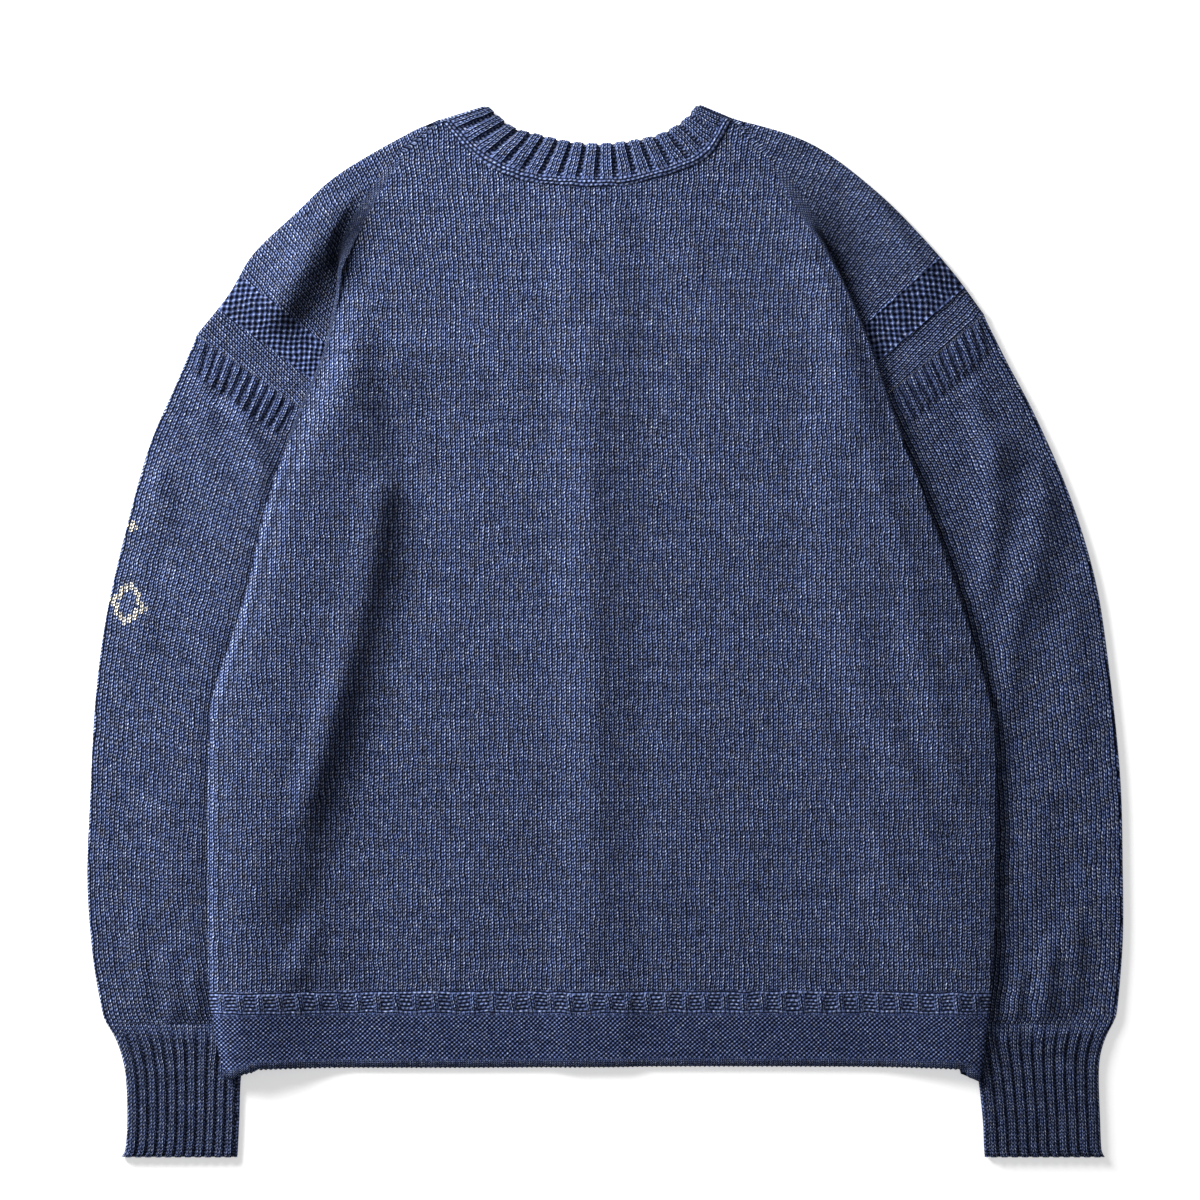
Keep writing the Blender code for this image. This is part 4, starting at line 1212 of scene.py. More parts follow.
@dataclass
class Back:
    """The back: one panel with a moss stitch band beside each armhole."""

    finish: bpy.types.Material
    body_columns: int = 168
    wing_columns: int = 46
    low_rows: int = 128
    high_rows: int = 84
    moss_band: tuple[float, float] = (0.165, 0.355)
    moss_rise: float = 0.5
    seam_ridge: float = 0.010
    ridge_rise: float = 0.9
    ridge_breadth: float = 0.0045
    selvedge_rise: float = 0.8
    gather_rise: float = 0.35
    gather_period: float = 7.2
    # How deep and how broad the shade painted on each wing beside its fold is
    painted_valley_shade: dict[Side, float] = field(default_factory=lambda: {Side.LEFT: 0.25, Side.RIGHT: 0.7})
    painted_valley_breadth: float = 26.0
    pivot: dict[Side, tuple[float, float]] = field(
        default_factory=lambda: {Side.LEFT: (52.0, -100.0), Side.RIGHT: (-80.0, -100.0)}
    )
    pivot_reach: float = 514.0
    meeting: dict[Side, tuple[float, float]] = field(
        default_factory=lambda: {Side.LEFT: (-150.0, 352.0), Side.RIGHT: (122.0, 352.0)}
    )

    def __post_init__(self) -> None:
        """Works out the shares of its rows, closer at the ridges, and both tucks."""
        steps = np.arange(-3, 4) * 0.003
        ridges = np.concatenate([edge + steps for edge in self.moss_band])
        even = np.linspace(0, 1, self.high_rows)
        apart = [share for share in even if min(abs(share - ridges)) > 0.003]
        self.shares = np.unique(np.concatenate([apart, ridges, [0.004]]))
        self.tucks = {side: Tuck(side).rows(self.shares) for side in Side}

    @property
    def across_shares(self) -> Array:
        """Even shares across the body, with a few more close to each edge."""
        even = np.linspace(0.016, 0.984, self.body_columns - 2 * len(CLOSE_SHARES))
        return np.concatenate([CLOSE_SHARES, even, 1 - CLOSE_SHARES[::-1]])

    @property
    def neck(self) -> Array:
        """The neck seam: the body's last row."""
        return self.top_plan()[-1]

    def body_stitches(self, plan: Array) -> Array:
        """The stitches of the body: wales run straight up, and lean outwards towards the shoulders.

        Args:
            plan: Points in plan.

        Returns:
            Wales and courses at each point.
        """
        x, y = plan[..., 0], plan[..., 1]
        lean = 0.10 * np.clip(y - 250, 0, None) * (smooth(20, -190, x) - smooth(-50, 160, x))
        return straight_stitches(np.stack([x + lean, y], axis=-1))

    def wing_stitches(self, plan: Array, side: Side) -> Array:
        """The stitches of a wing: wales run towards one far point, so that they fan out to the shoulder.

        Args:
            plan: Points in plan.
            side: Which wing.

        Returns:
            Wales and courses at each point.
        """
        pivot, meeting = np.array(self.pivot[side]), np.array(self.meeting[side])
        away, met = plan - pivot, meeting - pivot
        turned = np.arctan2(met[1], met[0]) - np.arctan2(away[..., 1], away[..., 0])
        radius = np.linalg.norm(away, axis=-1) - np.linalg.norm(met)
        fan = np.stack([turned * self.pivot_reach, radius], axis=-1)
        return self.body_stitches(meeting) + straight_stitches(fan)

    def relief(self, plan: Array) -> Array:
        """The soft folds of the body, with the small gathers below the neckband: a sine across that dies
        away downwards.

        Args:
            plan: Points in plan.

        Returns:
            The height at each point.
        """
        x, y = plan[..., 0], plan[..., 1]
        seam = np.array(NECK_EDGES)
        below = np.interp(x, seam[:, 0], seam[:, 1]) - y
        gather = self.gather_rise * np.sin(2 * math.pi * x / self.gather_period)
        gather = gather * smooth(-68, -54, x) * smooth(34, 18, x) * smooth(16, 4, below)
        return soft_folds(plan, BACK_FOLDS) + soft_folds(plan, BACK_CREASES) + gather

    def painted_trough_shade(self, plan: Array) -> Array:
        """The shade painted beside the troughs of the folds on the left, as a factor for the colour: 1 away
        from them.

        Args:
            plan: Points in plan.

        Returns:
            The painted shade at each point.
        """
        depths = [depth * bell(far_from_line(plan, curve(line)), breadth) for line, breadth, depth in PAINTED_TROUGHS]
        return np.prod([1 - depth for depth in depths], axis=0)

    def top_plan(self) -> Array:
        """The body above the underarms in plan: straight rows between the tucks that bend, with the square of
        the share, to the neck seam."""
        left, right = self.tucks[Side.LEFT].start, self.tucks[Side.RIGHT].start
        straight = between(left, right, self.across_shares)
        seam = along(curve([row[:2] for row in NECK_EDGES]), self.across_shares)
        return straight + (self.shares**2)[:, None, None] * (seam - straight[-1])

    def low_plan(self) -> Array:
        """The body below the underarms in plan: straight rows between its two edges."""
        ends = []
        for side in Side:
            rows = [(row[side.column], row[0]) for row in BODY_EDGES[1:8]]
            line = curve([*rows[::-1], self.tucks[side].start[0]])
            ends.append(along(line, np.linspace(0, 1, self.low_rows)))
        return between(*ends, self.across_shares)

    def wing_plan(self, side: Side, outline: Array) -> Array:
        """One wing in plan: straight rows from the tuck to the shoulder's outline. With the cube of the share
        they bend, until the last one lies on it.

        Args:
            side: Which wing.
            outline: The shoulder's outline.

        Returns:
            The rows in plan.
        """
        close = [0.968, 0.982, 0.993, 1.0]
        across = np.concatenate([np.linspace(0, 0.95, self.wing_columns - len(close)), close])
        straight = between(self.tucks[side].end, along(outline, self.shares * WING_SHARE), across)
        top_start = 1 - np.linalg.norm(straight[-1, 0] - outline[-1]) / run_of(outline)[-1]
        bend = along(outline, top_start + across * (WING_SHARE - top_start)) - straight[-1]
        bend[0] = 0
        return straight + (self.shares**3)[:, None, None] * bend

    def high_grid(self) -> KnitGrid:
        """The body above the underarms: over the tucks it is lifted by as much as they drop."""
        plan = self.top_plan()
        lift = np.zeros(plan.shape[:-1])
        for side, tuck in self.tucks.items():
            past = side.value * (tuck.limit[:, None] - plan[..., 0])
            lift = np.maximum(lift, tuck.drop[:, None] * smooth(CLOTH.slope_end, CLOTH.slope_start, past))
        for side, tuck in self.tucks.items():
            lift[:, side.end] = tuck.drop
        from_tuck = np.minimum(plan[..., 0] - plan[:, :1, 0], plan[:, -1:, 0] - plan[..., 0])
        bulge = side_bulge(plan) * smooth(0.76, 0.45, self.shares)[:, None]
        folds = smooth(0, 10, from_tuck) * self.relief(plan)
        height = CLOTH.high + lift + opening_lift(plan) + folds + bulge
        return flat_grid(plan, height, 1, self.body_stitches(plan), shade=self.painted_trough_shade(plan))

    def low_grid(self, above: KnitGrid) -> KnitGrid:
        """The body below the underarms, joined to the part above, with a raised line along its left edge that
        is painted lighter as a highlight and a painted dark line just inside it.

        Args:
            above: The body above the underarms.

        Returns:
            The grid, from the welt up.
        """
        plan = self.low_plan()
        height = back_level(plan) + self.relief(plan)
        height[-1] = above.outer[0, :, 2] - CLOTH.half
        to_left = far_from_line(plan, body_edge(Side.LEFT))
        selvedge = bell(to_left - 4.0, 2.0)
        fall = edge_fall(plan, *(body_edge(side, 1, 9) for side in Side))
        fall[-1] = selvedge[-1] = 0
        # Painted highlight on the raised line along the left edge, a painted dark line just inside it, and
        # the painted trough shade
        shade = (1 + 0.8 * selvedge - 0.35 * bell(to_left - 9.0, 3.0)) * self.painted_trough_shade(plan)
        rise = self.selvedge_rise * selvedge - fall
        return flat_grid(plan, height, 1, self.body_stitches(plan), rise, shade=shade)

    def wing_grid(self, side: Side, body: KnitGrid) -> KnitGrid:
        """One wing with the tuck that joins it to the body.

        Args:
            side: Which wing.
            body: The body above the underarms.

        Returns:
            The grid, from the body's edge to the shoulder.
        """
        shares, tuck, outline = self.shares, self.tucks[side], curve(SHOULDER[side])
        plan = self.wing_plan(side, outline)
        start, end = self.moss_band
        moss = smooth(start - 0.002, start + 0.002, shares) * smooth(end + 0.002, end - 0.002, shares)
        ridges = sum(bell(shares - edge, self.ridge_breadth) for edge in (self.seam_ridge, *self.moss_band))
        steps = np.linspace(0, 1, self.wing_columns)
        rise = (self.moss_rise * moss + self.ridge_rise * ridges)[:, None] * smooth(0, 0.1, steps)
        fall = edge_fall(plan, outline)
        fall[:, 0] = 0
        swell = soft_folds(plan, WING_FOLDS) * smooth(0.95, 0.75, shares)[:, None]
        middle = CLOTH.high + swell * smooth(0, 0.2, steps) * smooth(1, 0.8, steps)
        stitches = self.wing_stitches(plan, side)
        wing = flat_grid(plan, middle, 1, stitches, rise - fall)

        # Shade painted on the wing beside the tuck's fold, deeper on the right. The rows are darker in the
        # moss band and on a painted dark line near the armhole seam, and are painted lighter as a highlight
        # on the ridges.
        deep = self.painted_valley_shade[side] * smooth(-0.2, 0.1, shares) * smooth(0.92, 0.70, shares)
        from_fold = np.linalg.norm(plan - plan[:, :1], axis=-1)
        rows = (1 - 0.12 * moss) * (1 + 0.35 * ridges) * (1 - 0.3 * bell(shares - 0.022, 0.006))
        painted_valley_factor = 1 - deep[:, None] * bell(from_fold, self.painted_valley_breadth)
        shade = self.painted_trough_shade(plan) * painted_valley_factor * rows[:, None]

        into = np.linspace(0, 1, tuck.outer.shape[1])[:-1]
        edge = [side.end]
        tuck_shade = body.shade[:, edge] * (1 - into) + into * shade[:, :1]
        tuck_stitches = body.stitches[:, edge] + into[:, None] * (stitches[:, :1] - body.stitches[:, edge])
        return KnitGrid(
            np.concatenate([body.outer[:, edge], tuck.outer[:, 1:-1], wing.outer], axis=1),
            np.concatenate([body.inner[:, edge], tuck.inner[:, 1:-1], wing.inner], axis=1),
            np.concatenate([tuck_stitches, stitches], axis=1),
            moss=np.concatenate([0 * tuck_shade, np.tile(moss[:, None], self.wing_columns)], axis=1),
            shade=np.concatenate([tuck_shade, shade], axis=1),
        )

    def build(self) -> bpy.types.Object:
        """Builds the panel."""
        high = self.high_grid()
        wings = [self.wing_grid(side, high) for side in Side]
        return knit_wall("back", [self.low_grid(high), *wings, high], self.finish)


@dataclass
class Welt:
    """The welt under the back: a row of raised bars over moss stitch, with a cast-on edge."""

    finish: bpy.types.Material
    columns: int = 640
    rows: int = 34
    bars: int = 40
    bar_share: float = 0.47
    bar_top: float = -272.0
    bar_length: float = 12.5
    bar_rise: float = 1.1
    edge_rise: float = 0.6
    scallop: float = 0.5
    moss_across: float = 3.5
    moss_down: float = 3.2

    def plan(self) -> Array:
        """The welt in plan: rows between the two edges, bent more and more to the hem's own line."""
        heights = np.linspace(WELT_TOP, BODY_EDGES[-1][0], self.rows)
        left, right = (body_edge_at(side, heights) for side in Side)
        even = np.linspace(0.014, 0.986, self.columns - 2 * len(CLOSE_SHARES))
        shares = np.concatenate([CLOSE_SHARES, even, 1 - CLOSE_SHARES[::-1]])
        return bend_to_hem(between(left, right, shares))

    def build(self) -> bpy.types.Object:
        """Builds the welt: its bars are pulses across, for heights within their length, on a purl ground."""
        plan = self.plan()
        x, y = plan[..., 0], plan[..., 1]
        hem = curve(HEM_HEIGHTS)
        period = (x[:1, -1:] - x[:1, :1]) / (self.bars + 0.5)
        phase = (x - x[:, :1]) / period - 0.4
        top, foot = self.bar_top, self.bar_top - self.bar_length
        span = smooth(top + 1, top - 1, y) * smooth(foot, foot + 2, y)
        bar = pulse(phase, 0.0, self.bar_share, 0.1) * span
        purl = smooth(top + 4.0, top + 2.6, y) * smooth(foot - 3.2, foot - 1.8, y) * (1 - bar)
        to_hem = far_from_line(plan, hem)
        moss = smooth(foot - 2.4, foot - 3.4, y) * (1 - smooth(7, 5, to_hem))
        fall = edge_fall(plan, *(body_edge(side, -4) for side in Side), hem)
        rise = self.bar_rise * bar - fall + self.edge_rise * bell(to_hem - 5.0, 1.5)
        # Painted shade on the purl ground between the bars and a painted highlight along the left edge
        shade = (1 - 0.2 * purl * span) * (1 + 0.7 * bell(x - x[:, :1] - 5.0, 2.2))
        height = back_level(plan) + soft_folds(plan, BACK_FOLDS)
        last = smooth(0.9, 1.0, np.linspace(0, 1, self.rows))[:, None]
        wavy = np.dstack([x, y + self.scallop * np.sin(2 * math.pi * x / CLOTH.wale) * last])

        upper = np.stack([4 * phase, y / CLOTH.course], axis=-1)
        lower = 2 * plan / (self.moss_across, self.moss_down)
        last_bar_row = int(np.argmax(y[:, self.columns // 2] < foot - 2.6))
        grids = []
        for rows, stitches in ((slice(0, last_bar_row + 1), upper), (slice(last_bar_row, None), lower)):
            masks = {"moss": moss[rows], "purl": purl[rows], "shade": shade[rows]}
            grids.append(flat_grid(wavy[rows], height[rows], 1, stitches[rows], rise[rows], **masks))
        return knit_wall("back_welt", grids, self.finish)


@dataclass
class Tube:
    """A flattened tube of knitting. A ring runs from the middle of the under layer out and up round the outer
    fold, along the upper layer, round the inner fold and back.

    Attributes:
        outer: Where the outer fold lies in plan, one row a ring.
        inner: Where the inner fold lies.
        top_columns: The number of points across the upper layer.
    """

    outer: Array
    inner: Array
    top_columns: int
    turn_steps: int = 8
    under_columns: int = 16

    def __post_init__(self) -> None:
        """Works out the middles of the two folds and the angles of their points."""
        inward = unit(self.inner - self.outer)
        self.inward = inward[:, None]
        self.start, self.end = self.outer + inward * CLOTH.inset, self.inner - inward * CLOTH.inset
        self.angles = np.linspace(0, math.pi, self.turn_steps + 1)[1:-1]

    @property
    def upper(self) -> slice:
        """The columns of the upper layer."""
        first = self.under_columns + len(self.angles)
        return slice(first, first + self.top_columns)

    @property
    def places(self) -> Array:
        """Even shares across the upper layer."""
        return np.linspace(0, 1, self.top_columns)

    def plan(self) -> Array:
        """The upper layer in plan."""
        return between(self.start, self.end, self.places)

    def layer(self, plan: Array, up: int, lift: Array | float) -> tuple[Array, Array]:
        """The middle and the normal of a flat layer: up is 1 for the upper one and -1 for the under one.

        Args:
            plan: The layer in plan.
            up: 1 or -1.
            lift: How far it is lifted.

        Returns:
            The middle points and the normals.
        """
        height = CLOTH.tube_middle + up * CLOTH.tube_turn + lift + 0 * plan[..., 0]
        return np.dstack([plan, height]), np.broadcast_to((0.0, 0.0, float(up)), (*plan.shape[:2], 3))

    def fold(self, centre: Array, way: Array, tilts: Array) -> tuple[Array, Array]:
        """The middle and the normal of a fold, whose tilts are measured from straight up.

        Args:
            centre: The middle of the fold, one row a ring.
            way: Which way it bulges.
            tilts: The tilt of each of its points.

        Returns:
            The middle points and the normals.
        """
        side = np.sin(tilts)[None, :, None] * way
        normal = np.dstack([side, np.broadcast_to(np.cos(tilts), side.shape[:2])])
        level = np.full((len(centre), 1, 1), CLOTH.tube_middle)
        return np.concatenate([centre[:, None], level], axis=-1) + CLOTH.tube_turn * normal, normal

    def stitches(self, wales: float | None) -> Array:
        """The stitches, counted from the outer fold and the first ring.

        Args:
            wales: The number of wales across the upper layer, or None for the cloth's own gauge.

        Returns:
            Wales and courses at each point.
        """
        width = np.linalg.norm(self.inner - self.outer, axis=1)[:, None]
        turn = self.angles * CLOTH.tube_turn
        half = math.pi * CLOTH.tube_turn + np.linspace(0, 0.5, self.under_columns) * width
        run = [-half[:, ::-1], 0 * width - turn[::-1], self.places * width, width + turn, width + half]
        across = np.concatenate(run, axis=1)
        across = across / CLOTH.wale if wales is None else across / width * wales
        down = run_of((self.outer + self.inner) / 2)[:, None] / CLOTH.course
        return np.stack([across, -down + 0 * across], axis=-1)

    def grid(
        self,
        rise: Array,
        lift: Array | float,
        purl: Array | float,
        shade: Array | float,
        wales: float | None = None,
    ) -> KnitGrid:
        """The tube's grid, which closes on itself.

        Args:
            rise: How far the upper layer's outer face stands out.
            lift: How far the whole upper layer is lifted.
            purl: How much of the upper layer is purl.
            shade: The shade and highlights painted into the upper layer's colour.
            wales: The number of wales across the upper layer, or None for the cloth's own gauge.

        Returns:
            The grid.
        """
        half = np.linspace(0.5, 1, self.under_columns)
        parts = [
            self.layer(between(self.start, self.end, 1 - half), -1, 0.0),
            self.fold(self.start, -self.inward, self.angles[::-1]),
            self.layer(self.plan(), 1, lift),
            self.fold(self.end, self.inward, self.angles),
            self.layer(between(self.start, self.end, half[::-1]), -1, 0.0),
        ]
        middle, normal = (np.concatenate([part[k] for part in parts], axis=1) for k in range(2))
        stand, purls = np.zeros((2, *middle.shape[:2]))
        shades = np.ones(middle.shape[:2])
        for mask, values in ((stand, rise), (purls, purl), (shades, shade)):
            mask[:, self.upper] = values
        face_out = middle + normal * (CLOTH.half + stand)[..., None]
        return KnitGrid(face_out, middle - normal * CLOTH.half, self.stitches(wales), 0.0, purls, shades)


@dataclass
class Sleeve:
    """One sleeve, a tube pressed flat, with raised bars below the armhole seam."""

    side: Side
    finish: bpy.types.Material
    rings: int = 132
    head_rings: int = 24
    columns: int = 190
    head_end: float = 0.055
    # How dark the shadow painted along the armhole seam is on each side
    painted_seam_shadow: dict[Side, float] = field(default_factory=lambda: {Side.LEFT: 0.3, Side.RIGHT: 0.55})
    bars: int = 11
    bar_start: float = 5.0
    bar_period: float = 7.9
    bar_width: float = 5.6
    bar_length: float = 28.0
    bar_rise: float = 1.6
    bar_leans: tuple[float, float] = (77.0, 56.0)

    def __post_init__(self) -> None:
        """Reads the two ends of the armhole seam."""
        self.corner = np.array(SHOULDER[self.side][0], float)
        self.underarm = np.array(UNDERARM[self.side], float)

    def tube(self) -> Tube:
        """The tube between the outer and the inner fold, whose first ring lies a tenth below the seam."""
        seam = unit(self.corner - self.underarm)
        below = self.side.value * np.array((seam[1], -seam[0])) * 0.1
        line = curve(SLEEVE_ENDS[self.side])
        line[0, 1:] = (*(self.corner + below), *(self.underarm + below))
        head = np.linspace(0, self.head_end, self.head_rings)[:-1]
        shares = np.concatenate([head, np.linspace(self.head_end, 1, self.rings - len(head))])
        folds = read_line(line[:, 1:], line[:, 0], shares)
        return Tube(folds[:, :2], folds[:, 2:], self.columns)

    def bar_rises(self, plan: Array) -> tuple[Array, Array]:
        """The raised bars: with s the place along the seam and t the way down a line that leans more and more
        from the outer bar to the inner one, each bar is a pulse of s for t within its length.

        Args:
            plan: Points in plan.

        Returns:
            The rise at each point, and 1 in the grooves between the bars.
        """
        length = np.linalg.norm(self.underarm - self.corner)
        seam = (self.underarm - self.corner) / length
        square = self.side.value * np.array((-seam[1], seam[0]))
        depth, place = (plan - self.corner) @ square, (plan - self.corner) @ seam
        start = place
        for _ in range(4):
            lean = np.radians(np.interp(start, (0, 0.6 * length), self.bar_leans))
            way = np.stack([self.side.value * np.cos(lean), -np.sin(lean)], axis=-1)
            down = depth / np.maximum(way @ square, 0.2)
            start = place - down * (way @ seam)
        phase = (start - self.bar_start) / self.bar_period
        bar = pulse(phase, 0.0, self.bar_width / self.bar_period, 0.16)
        zone = smooth(-0.3, 0.1, phase) * smooth(self.bars + 0.2, self.bars - 0.2, phase)
        zone = zone * smooth(0.5, 2.5, down) * smooth(self.bar_length + 1, self.bar_length - 3, down)
        # The grooves' mask, which sets their purl and their painted shade, grows towards the bars' lower ends
        deeper = 0.45 + 0.55 * smooth(0.2, 0.9, down / self.bar_length)
        return self.bar_rise * bar * zone, (1 - bar) * zone * deeper

    def build(self) -> bpy.types.Object:
        """Builds the sleeve, with shade painted into the bars' grooves, beside the body's edge and at the
        armhole seam.
        """
        tube = self.tube()
        plan, places = tube.plan(), tube.places
        lift = soft_folds(plan, SLEEVE_FOLDS[self.side]) * smooth(0, 0.08, places) * smooth(1, 0.92, places)
        rise, groove = self.bar_rises(plan)
        armhole = far_from_line(plan, np.array([tube.outer[0], tube.inner[0]]))
        # Painted shade in the bars' grooves, a painted shadow beside the body's edge and one along the
        # armhole seam, darker on the right
        shade = (1 - 0.5 * groove) * (1 - 0.4 * bell(far_from_line(plan, body_edge(self.side)), 8))
        shade = shade * (1 - self.painted_seam_shadow[self.side] * bell(armhole, 2.2))
        grid = tube.grid(rise, lift, 0.9 * groove, shade)
        return knit_wall(f"sleeve_{self.side.word}", [grid], self.finish)


@dataclass
class Cuff:
    """One ribbed cuff, a tube pressed flat."""

    side: Side
    finish: bpy.types.Material
    ribs: int = 11
    rib_wales: int = 3
    rings: int = 44
    columns: int = 200
    rise: float = 1.3
    end_fall: float = 0.8
    scallop: float = 1.7

    def build(self) -> bpy.types.Object:
        """Builds the cuff: ribs are pulses across, which grow over the first rows, and the free end stands
        out a little at each rib."""
        line = curve(CUFF_ENDS[self.side])
        shares = np.linspace(0, 1, self.rings)
        folds = read_line(line[:, 1:], line[:, 0], shares)
        tube = Tube(folds[:, :2], folds[:, 2:], self.columns)
        phase = tube.places * self.ribs
        rib = pulse(phase, 0.0, 0.86, 0.15)
        grow = smooth(0, 0.12, shares)[:, None]
        rise = self.rise * rib * grow - self.end_fall * smooth(0.96, 1.0, shares)[:, None] ** 2
        purl = (1 - pulse(phase, 0.0, 0.88, 0.08)) * grow
        # Painted shade: a little darker all over, and darker in the grooves between the ribs
        shade = (1 - 0.14 * grow) - 0.5 * (1 - rib) * grow
        grid = tube.grid(rise, 0.0, purl, shade, float(self.ribs * self.rib_wales))
        for face in (grid.outer, grid.inner):
            face[:, tube.upper, 1] -= self.scallop * (rib - 1) * smooth(0.9, 1.0, shares)[:, None]
        return knit_wall(f"cuff_{self.side.word}", [grid], self.finish)


@dataclass
class Neckband:
    """The neckband: one ribbed strip from the left front edge, over the fold at the shoulder, round the back
    of the neck and down to the right front edge."""

    finish: bpy.types.Material
    neck: Array
    ribs: int = 17
    rib_wales: int = 4
    rise: float = 2.1
    ridge_rise: float = 2.1
    gap: float = 0.05
    scallop: float = 1.2
    sections: int = 420
    across: int = 18
    front_sections: int = 60
    front_wale: float = 2.95
    courses: float = 33 / CLOTH.course

    @property
    def width(self) -> Array:
        """Shares across the band, from the seam to the free edge."""
        even = np.linspace(0.07, 0.9, self.across - 6)
        return np.concatenate([[0.0, 0.03], even, [0.94, 0.965, 0.985, 1.0]])

    @property
    def rounding(self) -> Array:
        """How far the outer face falls at the free edge: a quarter of an ellipse over the last tenth."""
        inward = np.clip((self.width - 0.9) / 0.1, 0, 1)
        return CLOTH.edge_drop * (1 - np.sqrt(1 - inward**2))

    def section(
        self, seam: Array, free: Array, front: Side | None, rise: Array | float
    ) -> tuple[Array, Array]:
        """Sections of the band that lie flat.

        Args:
            seam: Points on the seam, one a section.
            free: Points on the free edge.
            front: Which front they are on, or None for the back.
            rise: How far the outer face stands out.

        Returns:
            The outer and the inner points.
        """
        plan = between(seam, free, self.width)
        facing = 1 if front is None else -1
        level = CLOTH.high + opening_lift(plan) if front is None else front_level(plan, front)
        outer = np.dstack([plan, level + facing * (CLOTH.half + rise - self.rounding)])
        return outer, np.dstack([plan, level - facing * CLOTH.half])

    def fold(self, seam: Array, free: Array, outward: Array, side: Side) -> tuple[Array, Array]:
        """The fold at the shoulder: half a turn between the front layer and the back layer.

        Args:
            seam: Its end on the seam.
            free: Its end on the free edge.
            outward: Which way it bulges in plan.
            side: Which shoulder.

        Returns:
            The outer and the inner points.
        """
        angles = -side.value * np.linspace(-math.pi / 2, math.pi / 2, 13)[1:-1]
        normal = np.column_stack([np.cos(angles)[:, None] * outward, np.sin(angles)])[:, None]
        line = seam + self.width[:, None] * (free - seam)
        centre = np.column_stack([line, np.full(len(line), CLOTH.tube_middle)])
        middle = centre[None] + CLOTH.tube_turn * normal
        thin = (CLOTH.half - self.rounding * 0.5)[None, :, None]
        return middle + thin * normal, middle - CLOTH.half * normal

    def front_lines(self, side: Side) -> tuple[Array, Array]:
        """The seam and the free edge of one front's part of the band, from the opening to the shoulder.

        Args:
            side: Which front.

        Returns:
            The seam and the free edge.
        """
        spots = np.linspace(1.0, 0.05, self.front_sections)
        seam, free = (along(curve(table[side]), spots) for table in (FRONT_SEAM, FRONT_FREE))
        seam = seam + unit(free - seam) * (self.gap + 0.6)
        seam[0, 0] = free[0, 0] = front_edge(side)
        return seam, free

    def build(self) -> bpy.types.Object:
        """Builds the band: its ribs are pulses along it over a purl ridge at the seam, and its outer face
        falls at the free edge."""
        shares = np.linspace(0, 1, self.sections)
        free = along(curve([row[2:] for row in NECK_EDGES]), shares)
        seam = along(self.neck, shares)
        seam = seam + unit(free - seam) * self.gap
        rib = pulse(shares * self.ribs, 0.0, 0.88, 0.17)
        free = free + unit(free - seam) * (rib - 0.7)[:, None] * self.scallop
        ends = {}
        for side in Side:
            step = free[side.end] - seam[side.end]
            outward = -side.value * unit((-step[1], step[0]))
            inset = outward * CLOTH.inset
            ends[side] = (seam[side.end] - inset, free[side.end] - inset, outward)
        keep = slice(5, -5)
        (left_seam, left_free, _), (right_seam, right_free, _) = ends.values()
        seam = np.vstack([left_seam, seam[keep], right_seam])
        free = np.vstack([left_free, free[keep], right_free])
        crest = np.interp(self.width, (0.0, 0.14, 0.32, 0.9, 1.0), (0.0, 0.1, 1.0, 1.0, 0.6))
        ribs = np.concatenate([[0], rib[keep], [0]])[:, None]
        purl_ridge = self.ridge_rise * bell(self.width - 0.10, 0.07)
        parts = [self.section(seam, free, None, self.rise * ribs * crest + purl_ridge)]
        for side in Side:
            shoulder_seam, shoulder_free, outward = ends[side]
            front_seam, front_free = self.front_lines(side)
            lines = np.vstack([front_seam, shoulder_seam]), np.vstack([front_free, shoulder_free])
            front, fold = self.section(*lines, side, 0.0), self.fold(*ends[side], side)
            if side is Side.LEFT:
                parts = [front, fold, *parts]
            else:
                parts += [fold, [face[::-1] for face in front]]
        outer, inner = (np.vstack([part[k] for part in parts]) for k in range(2))

        run = run_of((outer + inner)[:, 0] / 2)
        first = len(parts[0][0]) + len(parts[1][0])
        back = slice(first, first + len(ribs))
        phase = np.concatenate([[0], shares[keep], [1]]) * self.ribs
        wales = run / self.front_wale
        wales[back] = phase * self.rib_wales + wales[first]
        stitches = np.dstack(np.broadcast_arrays(wales[:, None], self.width[None] * self.courses))
        groove = 1 - pulse(phase, 0.02, 0.86, 0.12)[:, None]
        seam_rows = smooth(0.26, 0.18, self.width)
        purl, shade = np.zeros(outer.shape[:2]), np.ones(outer.shape[:2])
        purl[back] = np.clip(groove + seam_rows, 0, 1)
        # Painted shade in the grooves between the ribs and on the seam rows, and the band a fifth lighter as
        # a whole
        shade[back] = (1.2 - 0.25 * seam_rows) * (1 - 0.5 * groove * smooth(0.14, 0.5, self.width))
        return knit_wall("neckband", [KnitGrid(outer, inner, stitches, 0.0, purl, shade)], self.finish)


